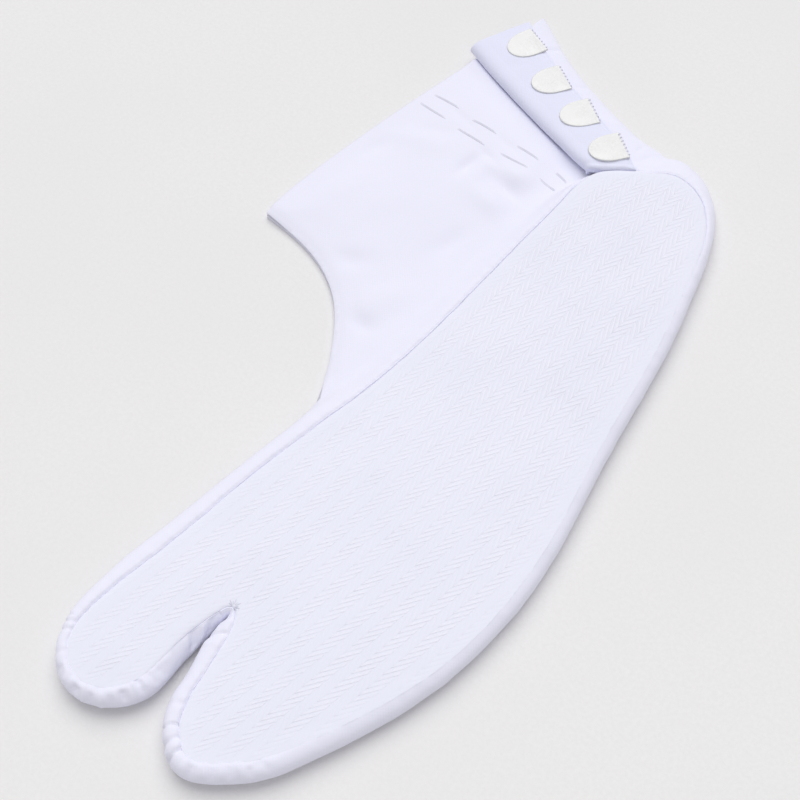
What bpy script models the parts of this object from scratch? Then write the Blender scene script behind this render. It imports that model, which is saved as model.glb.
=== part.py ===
"""Tabi sock, right foot, laid flat with its sole up and its leg folded to the inner side.

Every cut piece is one closed solid: the sole, the big-toe upper, the four-toe upper with its
turned-back flap, the flap's facing and four metal clasps. Lengths in the tables are in
millimetres: toes at -Y, heel at +Y, leg towards -X, and z = 0 is the surface it lies on.
"""

import math
from collections import namedtuple

import bmesh
import bpy
import numpy as np
from mathutils import Vector
from mathutils.geometry import delaunay_2d_cdt

MM = 0.001

# Walls and gaps
CLOTH = 1.2           # upper: cotton with its lining
SOLE_WALL = 2.8       # sole: twill, lining and turned seam allowance
FACING_WALL = 1.0     # lining that shows on the turned-back flap
CLASP_WALL = 0.6      # metal clasp
SEAM_GAP = 0.3        # left between two pieces at a seam
LAYER_GAP = 0.3       # left between two layers that lie on each other

# Heights
SEAM_TOP = 7.8                                    # top of the sole at its edge
SOLE_DOME = 0.9                                   # rise of the sole towards its middle
SOLE_DOME_SPAN = 16.0                             # distance from the edge over which it rises
SOLE_ROUND = 0.7                                  # drop of the sole's rounded edge
SOLE_ROUND_SPAN = 0.9                             # distance from the edge over which that fades
LOW = CLOTH / 2                                   # middle of cloth that lies on the surface
LEG = LOW + CLOTH + LAYER_GAP                     # middle of the leg's upper layer
WRAP = LEG + CLOTH + LAYER_GAP                    # middle of the wrap over the leg's back
FLAP_RISE = 2.2                                   # from the wrap up to the turned-back flap
FLAP_SETTLE = 0.7                                 # it lies this much lower at its lower end
FLAP_SETTLE_SHARE = 0.03                          # share of the flap over which that fades
FOLD_ROLL = 3.4                                   # length of the soft roll at the fold
FOLD_SAG = 0.1                                    # the roll's lower handle hangs below the wrap
FOLD_PUFF = 0.2                                   # and its upper handle stands above the flap
FREE_EDGE_TRIM = 0.6                              # the free edge stops this far from the wrap's crease
FLAP_DRIFT = 1.9                                  # the turned-back end lies this much nearer the sole
FLAP_DRIFT_SHARE = 0.15                           # share of the flap over which that fades

# Mesh fineness
CURVE_SAMPLES = 1200
RIM_STEPS = 8
FLAP_FLAT_STEPS = 3   # along the wrap, from its crease to the roll
FLAP_BACK_STEPS = 4   # from the roll back to the free edge
ROLL_HANDLE = 4 / 3   # of a half round drawn as one cubic curve
SOLE_RINGS = (0.0, 0.6, 2.6)                      # distances in from the sole's edge
SOLE_GRID = 12.0
LEG_GRID = 8.0
LATTICE_ROW = 0.87    # height of a lattice row, as a share of the spacing
LATTICE_CLEAR = 0.45  # least distance from the edge, as a share of the spacing
SMOOTH_ANGLE = 40.0   # degrees, above which an edge is shaded sharp
MERGE_DISTANCE = 1e-6 # points of a filled loop nearer than this are one
FACING_POINTS = 9     # points of the flap's cut that the facing covers, from its free edge

# Cloth beside the sole seam, from the heel seam round the big toe to the gap between the toes.
# Each row is a cut across the rim: it leaves the seam at `slope` degrees and ends `reach` mm
# out from the seam, `level` mm up, heading `turn` degrees (0 out, -90 down, -180 back under).
RIM_COLUMNS = ("x", "y", "step", "top", "slope", "lead", "reach", "level", "turn", "trail")
BIG_TOE_RIM = (
    (-19.8, 110.0, 3.0, 5.2, -78.0, 1.6, 2.4, LEG, 0.0, 1.4),
    (-24.6, 106.0, 3.0, 5.2, -78.0, 1.6, 2.4, LEG, 0.0, 1.4),
    (-28.8, 101.8, 2.5, 5.2, -78.0, 1.6, 2.4, LEG, 0.0, 1.4),
    (-31.0, 96.0, 2.5, 6.2, -65.0, 2.4, 3.2, LEG, 0.0, 2.0),
    (-31.0, 86.0, 4.0, 7.2, -32.0, 3.2, 7.5, LEG, 0.0, 3.6),
    (-30.4, 68.0, 7.0, 7.2, -20.0, 3.6, 9.0, LEG, 0.0, 4.2),
    (-29.6, 38.0, 7.0, 7.2, -20.0, 3.6, 9.0, LEG, 0.0, 4.2),
    (-29.6, 8.0, 5.0, 7.2, -20.0, 3.6, 9.0, LEG, 0.0, 4.2),
    (-30.8, -8.0, 2.6, 7.2, -18.0, 3.8, 9.0, LEG, 0.0, 4.0),
    (-32.0, -17.0, 2.0, 7.2, -10.0, 4.2, 8.4, LEG, -25.0, 2.6),
    (-32.9, -23.0, 2.0, 7.2, -4.0, 4.8, 6.8, 1.9, -80.0, 2.0),
    (-33.6, -29.0, 2.0, 7.2, 0.0, 5.6, 4.2, 0.9, -155.0, 3.4),
    (-34.4, -35.0, 2.6, 7.2, 0.0, 6.4, -0.5, LOW, -180.0, 8.0),
    (-36.0, -50.0, 6.0, 7.2, 0.0, 6.8, -2.0, LOW, -180.0, 9.6),
    (-37.4, -70.0, 6.0, 7.2, 0.0, 6.8, -2.0, LOW, -180.0, 9.6),
    (-39.3, -90.0, 5.0, 7.2, 0.0, 7.2, -2.0, LOW, -180.0, 9.8),
    (-40.4, -104.0, 1.6, 7.2, 8.0, 5.7, -2.0, LOW, -180.0, 7.7),
    (-38.6, -114.6, 1.1, 7.2, 14.0, 3.8, -2.0, LOW, -180.0, 5.2),
    (-33.4, -120.6, 1.1, 7.2, 14.0, 4.0, -2.0, LOW, -180.0, 5.6),
    (-26.6, -122.0, 1.1, 7.2, 14.0, 4.2, -2.0, LOW, -180.0, 6.0),
    (-20.2, -118.9, 1.2, 7.2, 12.0, 4.6, -2.0, LOW, -180.0, 6.4),
    (-16.2, -112.5, 2.0, 7.2, 4.0, 5.2, -2.0, LOW, -180.0, 7.2),
    (-15.6, -102.0, 3.0, 7.2, -10.0, 5.0, -2.0, LOW, -180.0, 6.8),
    (-15.4, -92.0, 2.6, 7.2, -35.0, 3.6, -1.6, LOW, -180.0, 5.4),
    (-13.8, -84.4, 1.2, 7.2, -78.0, 3.0, -1.2, LOW, -180.0, 2.6),
)
# From the gap round the four toes, the outer side and the heel, then on along the flap's edge.
FOUR_TOE_RIM = (
    (-13.8, -84.4, 0.9, 7.2, -80.0, 3.0, -1.2, LOW, -180.0, 2.4),
    (-13.1, -82.2, 0.8, 7.2, -80.0, 3.0, -1.0, LOW, -180.0, 2.2),
    (-11.8, -81.2, 0.8, 7.2, -80.0, 3.0, -1.0, LOW, -180.0, 2.2),
    (-10.5, -82.2, 0.8, 7.2, -80.0, 3.0, -1.0, LOW, -180.0, 2.2),
    (-9.8, -84.4, 1.2, 7.2, -78.0, 3.0, -1.2, LOW, -180.0, 2.6),
    (-7.4, -91.5, 2.6, 7.2, -35.0, 3.8, -1.8, LOW, -180.0, 5.6),
    (-4.9, -100.5, 2.6, 7.2, -5.0, 5.4, -2.0, LOW, -180.0, 7.8),
    (-2.2, -108.5, 1.4, 7.2, 6.0, 5.4, -2.0, LOW, -180.0, 7.8),
    (2.0, -115.2, 1.1, 7.2, 12.0, 5.0, -2.0, LOW, -180.0, 7.2),
    (8.4, -118.5, 1.1, 7.2, 14.0, 4.8, -2.0, LOW, -180.0, 7.0),
    (15.2, -115.0, 1.3, 7.2, 12.0, 4.6, -2.0, LOW, -180.0, 6.8),
    (22.6, -107.0, 1.8, 7.2, 4.0, 4.6, -2.0, LOW, -180.0, 6.8),
    (29.4, -94.0, 4.0, 7.2, -12.0, 4.1, -2.0, LOW, -180.0, 6.3),
    (36.2, -76.5, 6.0, 7.2, -24.0, 3.6, -2.0, LOW, -180.0, 6.1),
    (41.4, -56.0, 7.0, 7.2, -28.0, 3.0, -2.5, LOW, -180.0, 5.8),
    (42.5, -36.0, 7.0, 7.2, -28.0, 3.0, -2.5, LOW, -180.0, 5.8),
    (39.6, -10.0, 8.0, 7.2, -28.0, 3.0, -2.5, LOW, -180.0, 5.8),
    (33.6, 15.0, 8.0, 7.2, -28.0, 3.0, -2.5, LOW, -180.0, 5.8),
    (28.1, 41.5, 8.0, 7.2, -28.0, 3.0, -2.5, LOW, -180.0, 5.8),
    (22.6, 66.0, 7.0, 7.2, -28.0, 3.0, -2.5, LOW, -180.0, 5.8),
    (16.4, 87.0, 5.0, 7.2, -28.0, 2.6, -2.4, LOW, -180.0, 5.2),
    (12.2, 99.2, 3.0, 7.2, -28.0, 2.6, -2.0, LOW, -180.0, 5.2),
    (6.6, 108.4, 2.8, 7.2, -24.0, 3.0, -1.4, LOW, -180.0, 6.2),
    (-0.6, 114.1, 2.8, 7.2, -22.0, 4.0, 1.2, LOW, -180.0, 6.6),
    (-7.8, 115.8, 2.8, 7.1, -22.0, 5.6, 6.2, LOW, -180.0, 6.4),
    (-15.0, 113.0, 2.4, 6.9, -20.0, 6.5, 10.2, LOW, -180.0, 6.0),
    (-19.8, 110.0, 1.4, 6.2, -16.0, 6.5, 12.8, LOW, -180.0, 5.6),
    (-22.6, 111.2, 1.8, 4.4, -3.0, 6.0, 11.4, LOW, -180.0, 5.2),
    (-28.4, 114.2, 3.2, 4.2, 0.0, 5.4, 8.4, LOW, -180.0, 4.8),
    (-34.0, 116.3, 4.0, 4.1, 0.0, 5.0, 6.8, LOW, -180.0, 4.6),
    (-46.0, 120.4, 4.2, 3.8, 0.0, 4.4, 5.8, LOW, -180.0, 4.4),
    (-60.0, 125.2, 4.2, WRAP, 0.0, 4.2, 5.4, LOW, -180.0, 4.4),
    (-73.4, 130.8, 4.2, WRAP, 0.0, 4.2, 5.6, LOW, -180.0, 4.4),
    (-85.6, 137.6, 4.2, WRAP, 0.0, 4.6, 7.2, LOW, -180.0, 4.8),
)
HEEL_SEAM = (-19.8, 110.0)      # where the two uppers meet at the sole
HEEL_TRIM = 1.0                 # the big-toe upper stops this far short of it
WRAP_AIMS = ((-7.8, 97.0), (-15.0, 93.0), (-19.8, 88.0), (-22.6, 84.0), (-28.4, 76.0),
             (-34.0, 71.0), (-46.0, 71.0), (-60.0, 70.0), (-73.4, 74.0),
             (-85.6, 96.0))     # row's x, and the way its cut points, in degrees
NOTCH_Y = -17.0                 # where the leg's front edge reaches the foot
UNDER_Y = -34.5                 # from here to the toes the big-toe upper turns right under
FLAP_START_X = -22.5            # lower end of the flap, on the rim's line

# Edges of the leg, and the instep seam that runs on under the foot to the gap
EDGE_COLUMNS = ("x", "y", "step")
FRONT_EDGE = (
    (-99.4, 23.6, 6.0),
    (-88.0, 23.0, 5.0),
    (-74.0, 20.0, 5.0),
    (-61.2, 12.6, 5.0),
    (-51.5, 1.6, 4.0),
    (-44.6, -9.4, 3.0),
)
INSTEP_SEAM = (
    (-39.2, -21.0, 3.0),
    (-36.2, -26.0, 3.0),
    (-31.6, -32.0, 4.0),
    (-25.6, -42.0, 6.0),
    (-20.6, -54.0, 8.0),
    (-16.8, -68.0, 8.0),
    (-14.2, -80.0, 4.0),
)
INSTEP_TRIM = 1.0     # the big-toe upper's instep edge starts this far past the third row
INSTEP_GAP = 0.36     # distance between the two uppers along it
LEG_HEM = (
    (-99.4, 23.6, 8.0),
    (-99.8, 38.0, 8.0),
    (-98.6, 54.0, 8.0),
    (-96.6, 73.0, 8.0),
    (-94.2, 93.0, 8.0),
    (-91.4, 113.0, 8.0),
    (-88.6, 127.0, 8.0),
)
BACK_EDGE = (
    (-87.0, 134.5, 8.0),
    (-72.0, 128.0, 8.0),
    (-52.0, 121.0, 8.0),
    (-32.0, 115.6, 6.0),
)
FOLD_EDGE = (
    (-33.7, 102.2, 4.0),
    (-39.7, 103.2, 4.0),
    (-55.3, 106.9, 4.0),
    (-76.0, 112.5, 4.0),
    (-93.3, 117.9, 4.0),
)

# Swells and troughs of the leg's upper layer: an oval, turned by `angle`, of `height` mm
Swell = namedtuple("Swell", ("x", "y", "along", "across", "angle", "height"))
LEG_SWELLS = (
    Swell(-66.0, 58.0, 26.0, 17.0, 80.0, 0.80),
    Swell(-50.0, 20.0, 13.0, 6.0, 60.0, 0.55),
    Swell(-44.0, 86.0, 11.0, 3.4, 8.0, 0.80),
    Swell(-46.0, 70.0, 12.0, 4.2, 0.0, 0.70),
    Swell(-44.5, 78.5, 10.0, 2.2, -7.0, -0.50),
    Swell(-84.0, 76.0, 12.0, 5.0, 20.0, 0.45),
)

# Gathers at the toe tips: the groove's place along the rim from its start, depth and half width
Gather = namedtuple("Gather", ("at", "depth", "half"))
GATHER_PUFF = 0.45              # how far the cloth swells between grooves
GATHER_FADE = 6.0               # length over which the swelling fades at either end
GATHER_SPREAD = 0.7             # below 1 the swelling reaches nearer the rim's edges
BIG_TOE_GATHERS = (
    Gather(226.2, 0.45, 0.9),
    Gather(229.0, 0.50, 0.9),
    Gather(234.2, 0.35, 1.2),
    Gather(241.2, 0.50, 1.2),
    Gather(245.2, 0.60, 1.0),
    Gather(249.8, 0.60, 1.0),
    Gather(254.2, 0.50, 1.2),
    Gather(258.4, 0.50, 1.1),
    Gather(263.4, 0.35, 1.3),
)
FOUR_TOE_GATHERS = (
    Gather(33.6, 0.30, 1.2),
    Gather(39.2, 0.55, 0.9),
    Gather(42.4, 0.50, 0.9),
    Gather(45.8, 0.60, 0.9),
    Gather(49.8, 0.50, 1.0),
    Gather(53.6, 0.50, 1.0),
    Gather(57.8, 0.50, 1.1),
    Gather(63.6, 0.45, 1.2),
    Gather(69.4, 0.30, 1.3),
)

# Clasps: their places along the flap's edge and their outline
CLASP_PLACES = ((-78.2, 132.6), (-61.0, 125.4), (-45.0, 119.8), (-29.0, 114.4))
CLASP_EDGE = 10.4
CLASP_LENGTH = 11.2
CLASP_SHOULDER = 3.2
CLASP_BLUNTNESS = 0.9           # below 1 the tip is blunter than an oval's
CLASP_SWING = -4.0              # degrees that a clasp leans from the flap's own line
CLASP_INSET = 0.3
CLASP_ARC_STEPS = 14

# Materials: base colour, roughness, metallic
FINISHES = {
    "sole": ((0.86, 0.87, 0.93), 0.95, 0.0),
    "upper": ((0.88, 0.88, 0.95), 0.90, 0.0),
    "facing": ((0.84, 0.86, 0.94), 0.90, 0.0),
    "clasp": ((0.86, 0.86, 0.85), 0.35, 1.0),
}


class Track:
    """Smooth curve through a table's rows, with its other columns read along it."""

    def __init__(self, columns, rows, aims=()):
        self.columns = columns
        self.rows = np.array(rows, dtype=float)
        spans = np.hypot(*np.diff(self.rows[:, :2], axis=0).T)
        self.knots = np.concatenate(([0.0], np.cumsum(spans)))
        self.bends = self.second_differences()
        self.length = self.knots[-1]
        self.aims = [(self.knot_at(x), angle) for x, angle in aims]

    def knot_at(self, x):
        """Distance of the last row that has this x."""
        return float(self.knots[np.flatnonzero(self.rows[:, 0] == x)[-1]])

    def second_differences(self):
        """Second derivatives of the natural cubic spline through x and y."""
        count = len(self.knots)
        spans = np.diff(self.knots)
        matrix = np.eye(count)
        right = np.zeros((count, 2))
        slopes = np.diff(self.rows[:, :2], axis=0) / spans[:, None]
        for k in range(1, count - 1):
            matrix[k, k - 1] = spans[k - 1]
            matrix[k, k] = 2.0 * (spans[k - 1] + spans[k])
            matrix[k, k + 1] = spans[k]
            right[k] = 6.0 * (slopes[k] - slopes[k - 1])
        return np.linalg.solve(matrix, right)

    def locate(self, s):
        """Span that holds distance s, with the weights of its two ends."""
        k = int(np.clip(np.searchsorted(self.knots, s) - 1, 0, len(self.knots) - 2))
        span = self.knots[k + 1] - self.knots[k]
        right = (s - self.knots[k]) / span
        return k, span, 1.0 - right, right

    def place(self, s):
        """Point on the curve at distance s."""
        k, span, left, right = self.locate(s)
        ends = left * self.rows[k, :2] + right * self.rows[k + 1, :2]
        bend = (left**3 - left) * self.bends[k] + (right**3 - right) * self.bends[k + 1]
        return ends + bend * span**2 / 6.0

    def heading(self, s):
        """Unit direction of travel at distance s."""
        k, span, left, right = self.locate(s)
        chord = (self.rows[k + 1, :2] - self.rows[k, :2]) / span
        near = (3.0 * left**2 - 1.0) * self.bends[k]
        far = (3.0 * right**2 - 1.0) * self.bends[k + 1]
        slope = chord + (far - near) * span / 6.0
        return slope / np.hypot(*slope)

    def outward(self, s):
        """Unit direction away from the foot: right of travel, or as the aims say."""
        if self.aims and self.aims[0][0] <= s <= self.aims[-1][0]:
            stops, angles = zip(*self.aims)
            angle = math.radians(np.interp(s, stops, angles))
            return np.array((math.cos(angle), math.sin(angle)))
        heading = self.heading(s)
        return np.array((heading[1], -heading[0]))

    def value(self, name, s):
        """Another column of the table at distance s."""
        return float(np.interp(s, self.knots, self.rows[:, self.columns.index(name)]))

    def stations(self, start=0.0, end=None):
        """Distances spaced as the step column says."""
        stop = self.length if end is None else end
        fine = np.linspace(start, stop, CURVE_SAMPLES)
        steps = np.interp(fine, self.knots, self.rows[:, self.columns.index("step")])
        shares = np.diff(fine) * 0.5 * (1.0 / steps[1:] + 1.0 / steps[:-1])
        total = np.concatenate(([0.0], np.cumsum(shares)))
        count = max(1, round(total[-1]))
        return np.interp(np.linspace(0.0, total[-1], count + 1), total, fine)

    def nearest(self, point):
        """Distance along the curve of its closest place to a point."""
        fine = np.linspace(0.0, self.length, CURVE_SAMPLES)
        gaps = [np.hypot(*(self.place(s) - np.array(point))) for s in fine]
        return float(fine[int(np.argmin(gaps))])


class Sheet:
    """Wall of cloth: each point has an outer and an inner place, and open borders are closed."""

    def __init__(self):
        self.outer = []
        self.inner = []
        self.faces = []

    def add(self, outer, inner):
        """New point of the wall; returns its number."""
        self.outer.append(tuple(outer))
        self.inner.append(tuple(inner))
        return len(self.outer) - 1

    def add_level(self, place, middle, wall=CLOTH):
        """New point where the wall lies level, around a middle height."""
        x, y = place[0], place[1]
        return self.add((x, y, middle + wall / 2), (x, y, middle - wall / 2))

    def add_under(self, place):
        """New point where the wall lies on the surface with its outer face down."""
        return self.add((place[0], place[1], 0.0), (place[0], place[1], CLOTH))

    def grid(self, columns):
        """Faces between neighbouring columns of points."""
        for left, right in zip(columns[:-1], columns[1:]):
            for k in range(len(left) - 1):
                self.faces.append((left[k], left[k + 1], right[k + 1], right[k]))

    def fill(self, loop, spacing, middle):
        """Faces inside a loop of points, over a lattice whose heights `middle` gives."""
        ring = [self.outer[k][:2] for k in loop]
        inside = lattice(ring, spacing) if spacing else []
        numbers = list(loop) + [self.add_level(p, middle(p)) for p in inside]
        points = [Vector(p) for p in list(ring) + inside]
        border = [list(range(len(ring)))]
        _, _, faces, origins, _, _ = delaunay_2d_cdt(points, [], border, 1, MERGE_DISTANCE)
        for face in faces:
            self.faces.append(tuple(numbers[origins[k][0]] for k in face))

    def border(self):
        """Edges that belong to one face only, in that face's direction."""
        used = {}
        for face in self.faces:
            for a, b in zip(face, face[1:] + face[:1]):
                used.setdefault(frozenset((a, b)), []).append((a, b))
        return [pairs[0] for pairs in used.values() if len(pairs) == 1]

    def mesh(self, name):
        """Closed mesh of the wall."""
        bm = bmesh.new()
        outer = [bm.verts.new(Vector(p) * MM) for p in self.outer]
        inner = [bm.verts.new(Vector(p) * MM) for p in self.inner]
        for face in self.faces:
            bm.faces.new([outer[k] for k in face])
            bm.faces.new([inner[k] for k in reversed(face)])
        for a, b in self.border():
            bm.faces.new((outer[b], outer[a], inner[a], inner[b]))
        return close_mesh(bm, name)


def close_mesh(bm, name):
    """Triangulated mesh of a closed body with its faces pointing out."""
    bmesh.ops.triangulate(bm, faces=bm.faces)
    bmesh.ops.recalc_face_normals(bm, faces=bm.faces)
    mesh = bpy.data.meshes.new(name)
    bm.to_mesh(mesh)
    bm.free()
    return mesh


def is_inside(point, ring):
    """Whether a point is inside a closed outline."""
    x, y = point
    hits = 0
    for (x0, y0), (x1, y1) in zip(ring, ring[1:] + ring[:1]):
        if (y0 > y) != (y1 > y) and x < x0 + (y - y0) * (x1 - x0) / (y1 - y0):
            hits += 1
    return hits % 2 == 1


def edge_distance(point, ring):
    """Shortest distance from a point to a closed outline."""
    corners = np.array(ring)
    spans = np.roll(corners, -1, axis=0) - corners
    offset = np.array(point) - corners
    along = np.clip((offset * spans).sum(1) / (spans**2).sum(1), 0.0, 1.0)
    return float(np.hypot(*(offset - along[:, None] * spans).T).min())


def lattice(ring, spacing):
    """Staggered points inside an outline, clear of its edge."""
    corners = np.array(ring)
    low = corners.min(axis=0)
    high = corners.max(axis=0)
    points = []
    for row, y in enumerate(np.arange(low[1] + spacing / 2, high[1], spacing * LATTICE_ROW)):
        shift = spacing / 2 if row % 2 else 0.0
        for x in np.arange(low[0] + shift, high[0], spacing):
            place = (float(x), float(y))
            if is_inside(place, ring) and edge_distance(place, ring) > spacing * LATTICE_CLEAR:
                points.append(place)
    return points


def bezier(start, first, second, end, steps):
    """Points and unit directions along a cubic curve in the (out, up) plane."""
    t = np.linspace(0.0, 1.0, steps + 1)[:, None]
    p0, p1, p2, p3 = (np.array(p, dtype=float) for p in (start, first, second, end))
    points = (1 - t)**3 * p0 + 3 * (1 - t)**2 * t * p1 + 3 * (1 - t) * t**2 * p2 + t**3 * p3
    ways = (1 - t)**2 * (p1 - p0) + 2 * (1 - t) * t * (p2 - p1) + t**2 * (p3 - p2)
    return points, ways / np.linalg.norm(ways, axis=1)[:, None]


def rim_cut(track, s):
    """Middle line and directions of the cloth in the upright cut at distance s."""
    slope = math.radians(track.value("slope", s))
    turn = math.radians(track.value("turn", s))
    lead = track.value("lead", s)
    trail = track.value("trail", s)
    lean = CLOTH / 2 * max(0.0, -math.sin(slope))
    start = (SEAM_GAP / 2 + lean, track.value("top", s))
    end = (track.value("reach", s), track.value("level", s))
    first = (start[0] + lead * math.cos(slope), start[1] + lead * math.sin(slope))
    second = (end[0] - trail * math.cos(turn), end[1] - trail * math.sin(turn))
    return bezier(start, first, second, end, RIM_STEPS)


def gather_height(gathers, s):
    """How far the rim's outer face swells at distance s between its gathers."""
    start = gathers[0].at - GATHER_FADE
    end = gathers[-1].at + GATHER_FADE
    if s < start or s > end:
        return 0.0
    fade = min(1.0, (s - start) / GATHER_FADE, (end - s) / GATHER_FADE)
    groove = sum(g.depth * math.exp(-(((s - g.at) / g.half) ** 2)) for g in gathers)
    return fade * max(0.0, GATHER_PUFF - groove)


def rim_strip(sheet, track, stations, gathers):
    """Columns of points across the rim, one at each station."""
    columns = []
    half = CLOTH / 2
    for s in stations:
        seam = track.place(s)
        out = track.outward(s)
        puff = gather_height(gathers, s)
        points, ways = rim_cut(track, s)
        column = []
        for k, ((r, z), (along, rise)) in enumerate(zip(points, ways)):
            swell = puff * math.sin(math.pi * k / RIM_STEPS) ** GATHER_SPREAD
            outer_r = r - rise * (half + swell)
            outer_z = z + along * (half + swell)
            inner_r = r + rise * half
            inner_z = z - along * half
            column.append(sheet.add((*(seam + out * outer_r), outer_z),
                                    (*(seam + out * inner_r), inner_z)))
        columns.append(column)
    return columns


def leg_height(place):
    """Middle height of the leg's upper layer with its swells and troughs."""
    total = 0.0
    for swell in LEG_SWELLS:
        turn = math.radians(swell.angle)
        dx, dy = place[0] - swell.x, place[1] - swell.y
        u = (dx * math.cos(turn) + dy * math.sin(turn)) / swell.along
        v = (dy * math.cos(turn) - dx * math.sin(turn)) / swell.across
        total += swell.height * math.exp(-(u * u + v * v))
    return LEG + max(0.0, total)


def edge_points(track, start=0.0, end=None):
    """Plan points along an edge table."""
    return [track.place(s) for s in track.stations(start, end)]


def front_and_instep():
    """Track of the instep seam: the leg's front edge, then on under the foot."""
    return Track(EDGE_COLUMNS, FRONT_EDGE + INSTEP_SEAM)


def big_toe_upper():
    """Upper of the big-toe side: the leg's upper layer, the inner rim and the big toe."""
    sheet = Sheet()
    track = Track(RIM_COLUMNS, BIG_TOE_RIM)
    stations = track.stations(HEEL_TRIM, track.length - SEAM_GAP / 2)
    columns = rim_strip(sheet, track, stations, BIG_TOE_GATHERS)
    sheet.grid(columns)
    heights = [track.place(s)[1] for s in stations]
    notch = next(k for k, y in enumerate(heights) if y < NOTCH_Y)
    under = next(k for k, y in enumerate(heights) if y < UNDER_Y)

    seam = front_and_instep()
    front_end = seam.knots[len(FRONT_EDGE) - 1]
    front = [sheet.add_level(p, LEG) for p in edge_points(seam, 0.0, front_end)]
    hem = [sheet.add_level(p, LEG) for p in edge_points(Track(EDGE_COLUMNS, LEG_HEM))[1:]]
    back = [sheet.add_level(p, LEG) for p in edge_points(Track(EDGE_COLUMNS, BACK_EDGE))]
    leg_side = [column[-1] for column in columns[:notch + 1]]
    sheet.fill(leg_side + front[::-1] + hem + back, LEG_GRID, leg_height)

    stops = seam.stations(seam.knots[len(FRONT_EDGE) + 2] + INSTEP_TRIM, seam.length)
    line = [seam.place(s) + seam.outward(s) * INSTEP_GAP for s in stops]
    instep = [sheet.add_under(p) for p in line]
    toe_side = [column[-1] for column in columns[under:]]
    sheet.fill(toe_side + instep[::-1], 0.0, None)
    return sheet


def flap_cut(track, fold, s, share):
    """Flap in its upright cut: along the wrap, round the fold and back to its free edge."""
    edge = track.place(s)
    run = fold.place(share * fold.length) - edge
    length = float(np.hypot(*run))
    base = track.value("top", s)
    settle = FLAP_SETTLE * math.exp(-((share / FLAP_SETTLE_SHARE) ** 2))
    top = base + FLAP_RISE - settle
    roll = length - FOLD_ROLL
    way = run / length
    drift = FLAP_DRIFT * math.exp(-((share / FLAP_DRIFT_SHARE) ** 2))
    side = np.array((-way[1], way[0])) * drift
    out = np.linspace(0.0, roll, FLAP_FLAT_STEPS + 1)[1:-1]
    flat = [((q, base), (1.0, 0.0)) for q in out]
    far = roll + FOLD_ROLL * ROLL_HANDLE
    low = (far, base - FOLD_SAG)
    high = (far, top + FOLD_PUFF)
    curve = list(zip(*bezier((roll, base), low, high, (roll, top), RIM_STEPS)))
    home = np.linspace(roll, FREE_EDGE_TRIM, FLAP_BACK_STEPS + 1)[1:]
    back = [((q, top), (-1.0, 0.0)) for q in home]
    shares = [0.0] * len(flat) + list(np.linspace(0.0, 1.0, len(curve))) + [1.0] * len(back)
    return way, [(edge + side * d, *cut) for d, cut in zip(shares, flat + curve + back)]


def flap_sections(track, stations):
    """Cuts of the flap from its lower end to the hem."""
    fold = Track(EDGE_COLUMNS, FOLD_EDGE)
    span = stations[-1] - stations[0]
    return [flap_cut(track, fold, s, (s - stations[0]) / span) for s in stations]


def four_toe_stations(track):
    """Stations of the four-toe rim, and how many of them come before the flap."""
    stations = track.stations(SEAM_GAP / 2)
    places = [track.place(s) for s in stations]
    start = next(k for k, (x, y) in enumerate(places) if x < FLAP_START_X and y > HEEL_SEAM[1])
    return stations, start


def four_toe_upper():
    """Upper of the four-toe side: all the cloth beneath, the outer rim, heel, wrap and flap."""
    sheet = Sheet()
    track = Track(RIM_COLUMNS, FOUR_TOE_RIM, WRAP_AIMS)
    stations, start = four_toe_stations(track)
    columns = rim_strip(sheet, track, stations, FOUR_TOE_GATHERS)
    sheet.grid(columns)

    hem = edge_points(Track(EDGE_COLUMNS, LEG_HEM))[::-1]
    seam = front_and_instep()
    lower = [column[-1] for column in columns]
    hem_points = [sheet.add_under(p) for p in hem]
    seam_points = [sheet.add_under(p) for p in edge_points(seam)[1:]]
    sheet.fill(lower + hem_points + seam_points, 0.0, None)

    flap = []
    for column, (way, cut) in zip(columns[start:], flap_sections(track, stations[start:])):
        points = [column[0]]
        for edge, (q, z), (along, rise) in cut:
            half = CLOTH / 2
            outer = (*(edge + way * (q - rise * half)), z + along * half)
            inner = (*(edge + way * (q + rise * half)), z - along * half)
            points.append(sheet.add(outer, inner))
        flap.append(points)
    sheet.grid(flap)
    return sheet


def flap_facing():
    """Lining on the flap's upper side, made from the flap's own points moved out."""
    sheet = Sheet()
    track = Track(RIM_COLUMNS, FOUR_TOE_RIM, WRAP_AIMS)
    stations, start = four_toe_stations(track)
    low = CLOTH / 2 + LAYER_GAP
    high = low + FACING_WALL
    columns = []
    for way, cut in flap_sections(track, stations[start:]):
        column = []
        for edge, (q, z), (along, rise) in cut[-FACING_POINTS:]:
            outer = (*(edge + way * (q + rise * high)), z - along * high)
            inner = (*(edge + way * (q + rise * low)), z - along * low)
            column.append(sheet.add(outer, inner))
        columns.append(column)
    sheet.grid(columns)
    return sheet


def sole_outline():
    """Plan outline of the sole, round from the heel seam, and its outward directions."""
    inner = Track(RIM_COLUMNS, BIG_TOE_RIM)
    outer = Track(RIM_COLUMNS, FOUR_TOE_RIM, WRAP_AIMS)
    heel = outer.nearest(HEEL_SEAM)
    places = [inner.place(s) for s in inner.stations()[:-1]]
    places += [outer.place(s) for s in outer.stations(0.0, heel)[:-1]]
    points = np.array(places)
    run = np.roll(points, -1, axis=0) - np.roll(points, 1, axis=0)
    outward = np.column_stack((run[:, 1], -run[:, 0]))
    return points, outward / np.hypot(*outward.T)[:, None]


def sole_height(distance):
    """Top of the sole at a distance in from its edge."""
    edge = SOLE_ROUND * math.exp(-distance / SOLE_ROUND_SPAN)
    dome = SOLE_DOME * (1.0 - math.exp(-((distance / SOLE_DOME_SPAN) ** 2)))
    return SEAM_TOP - edge + dome


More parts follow.
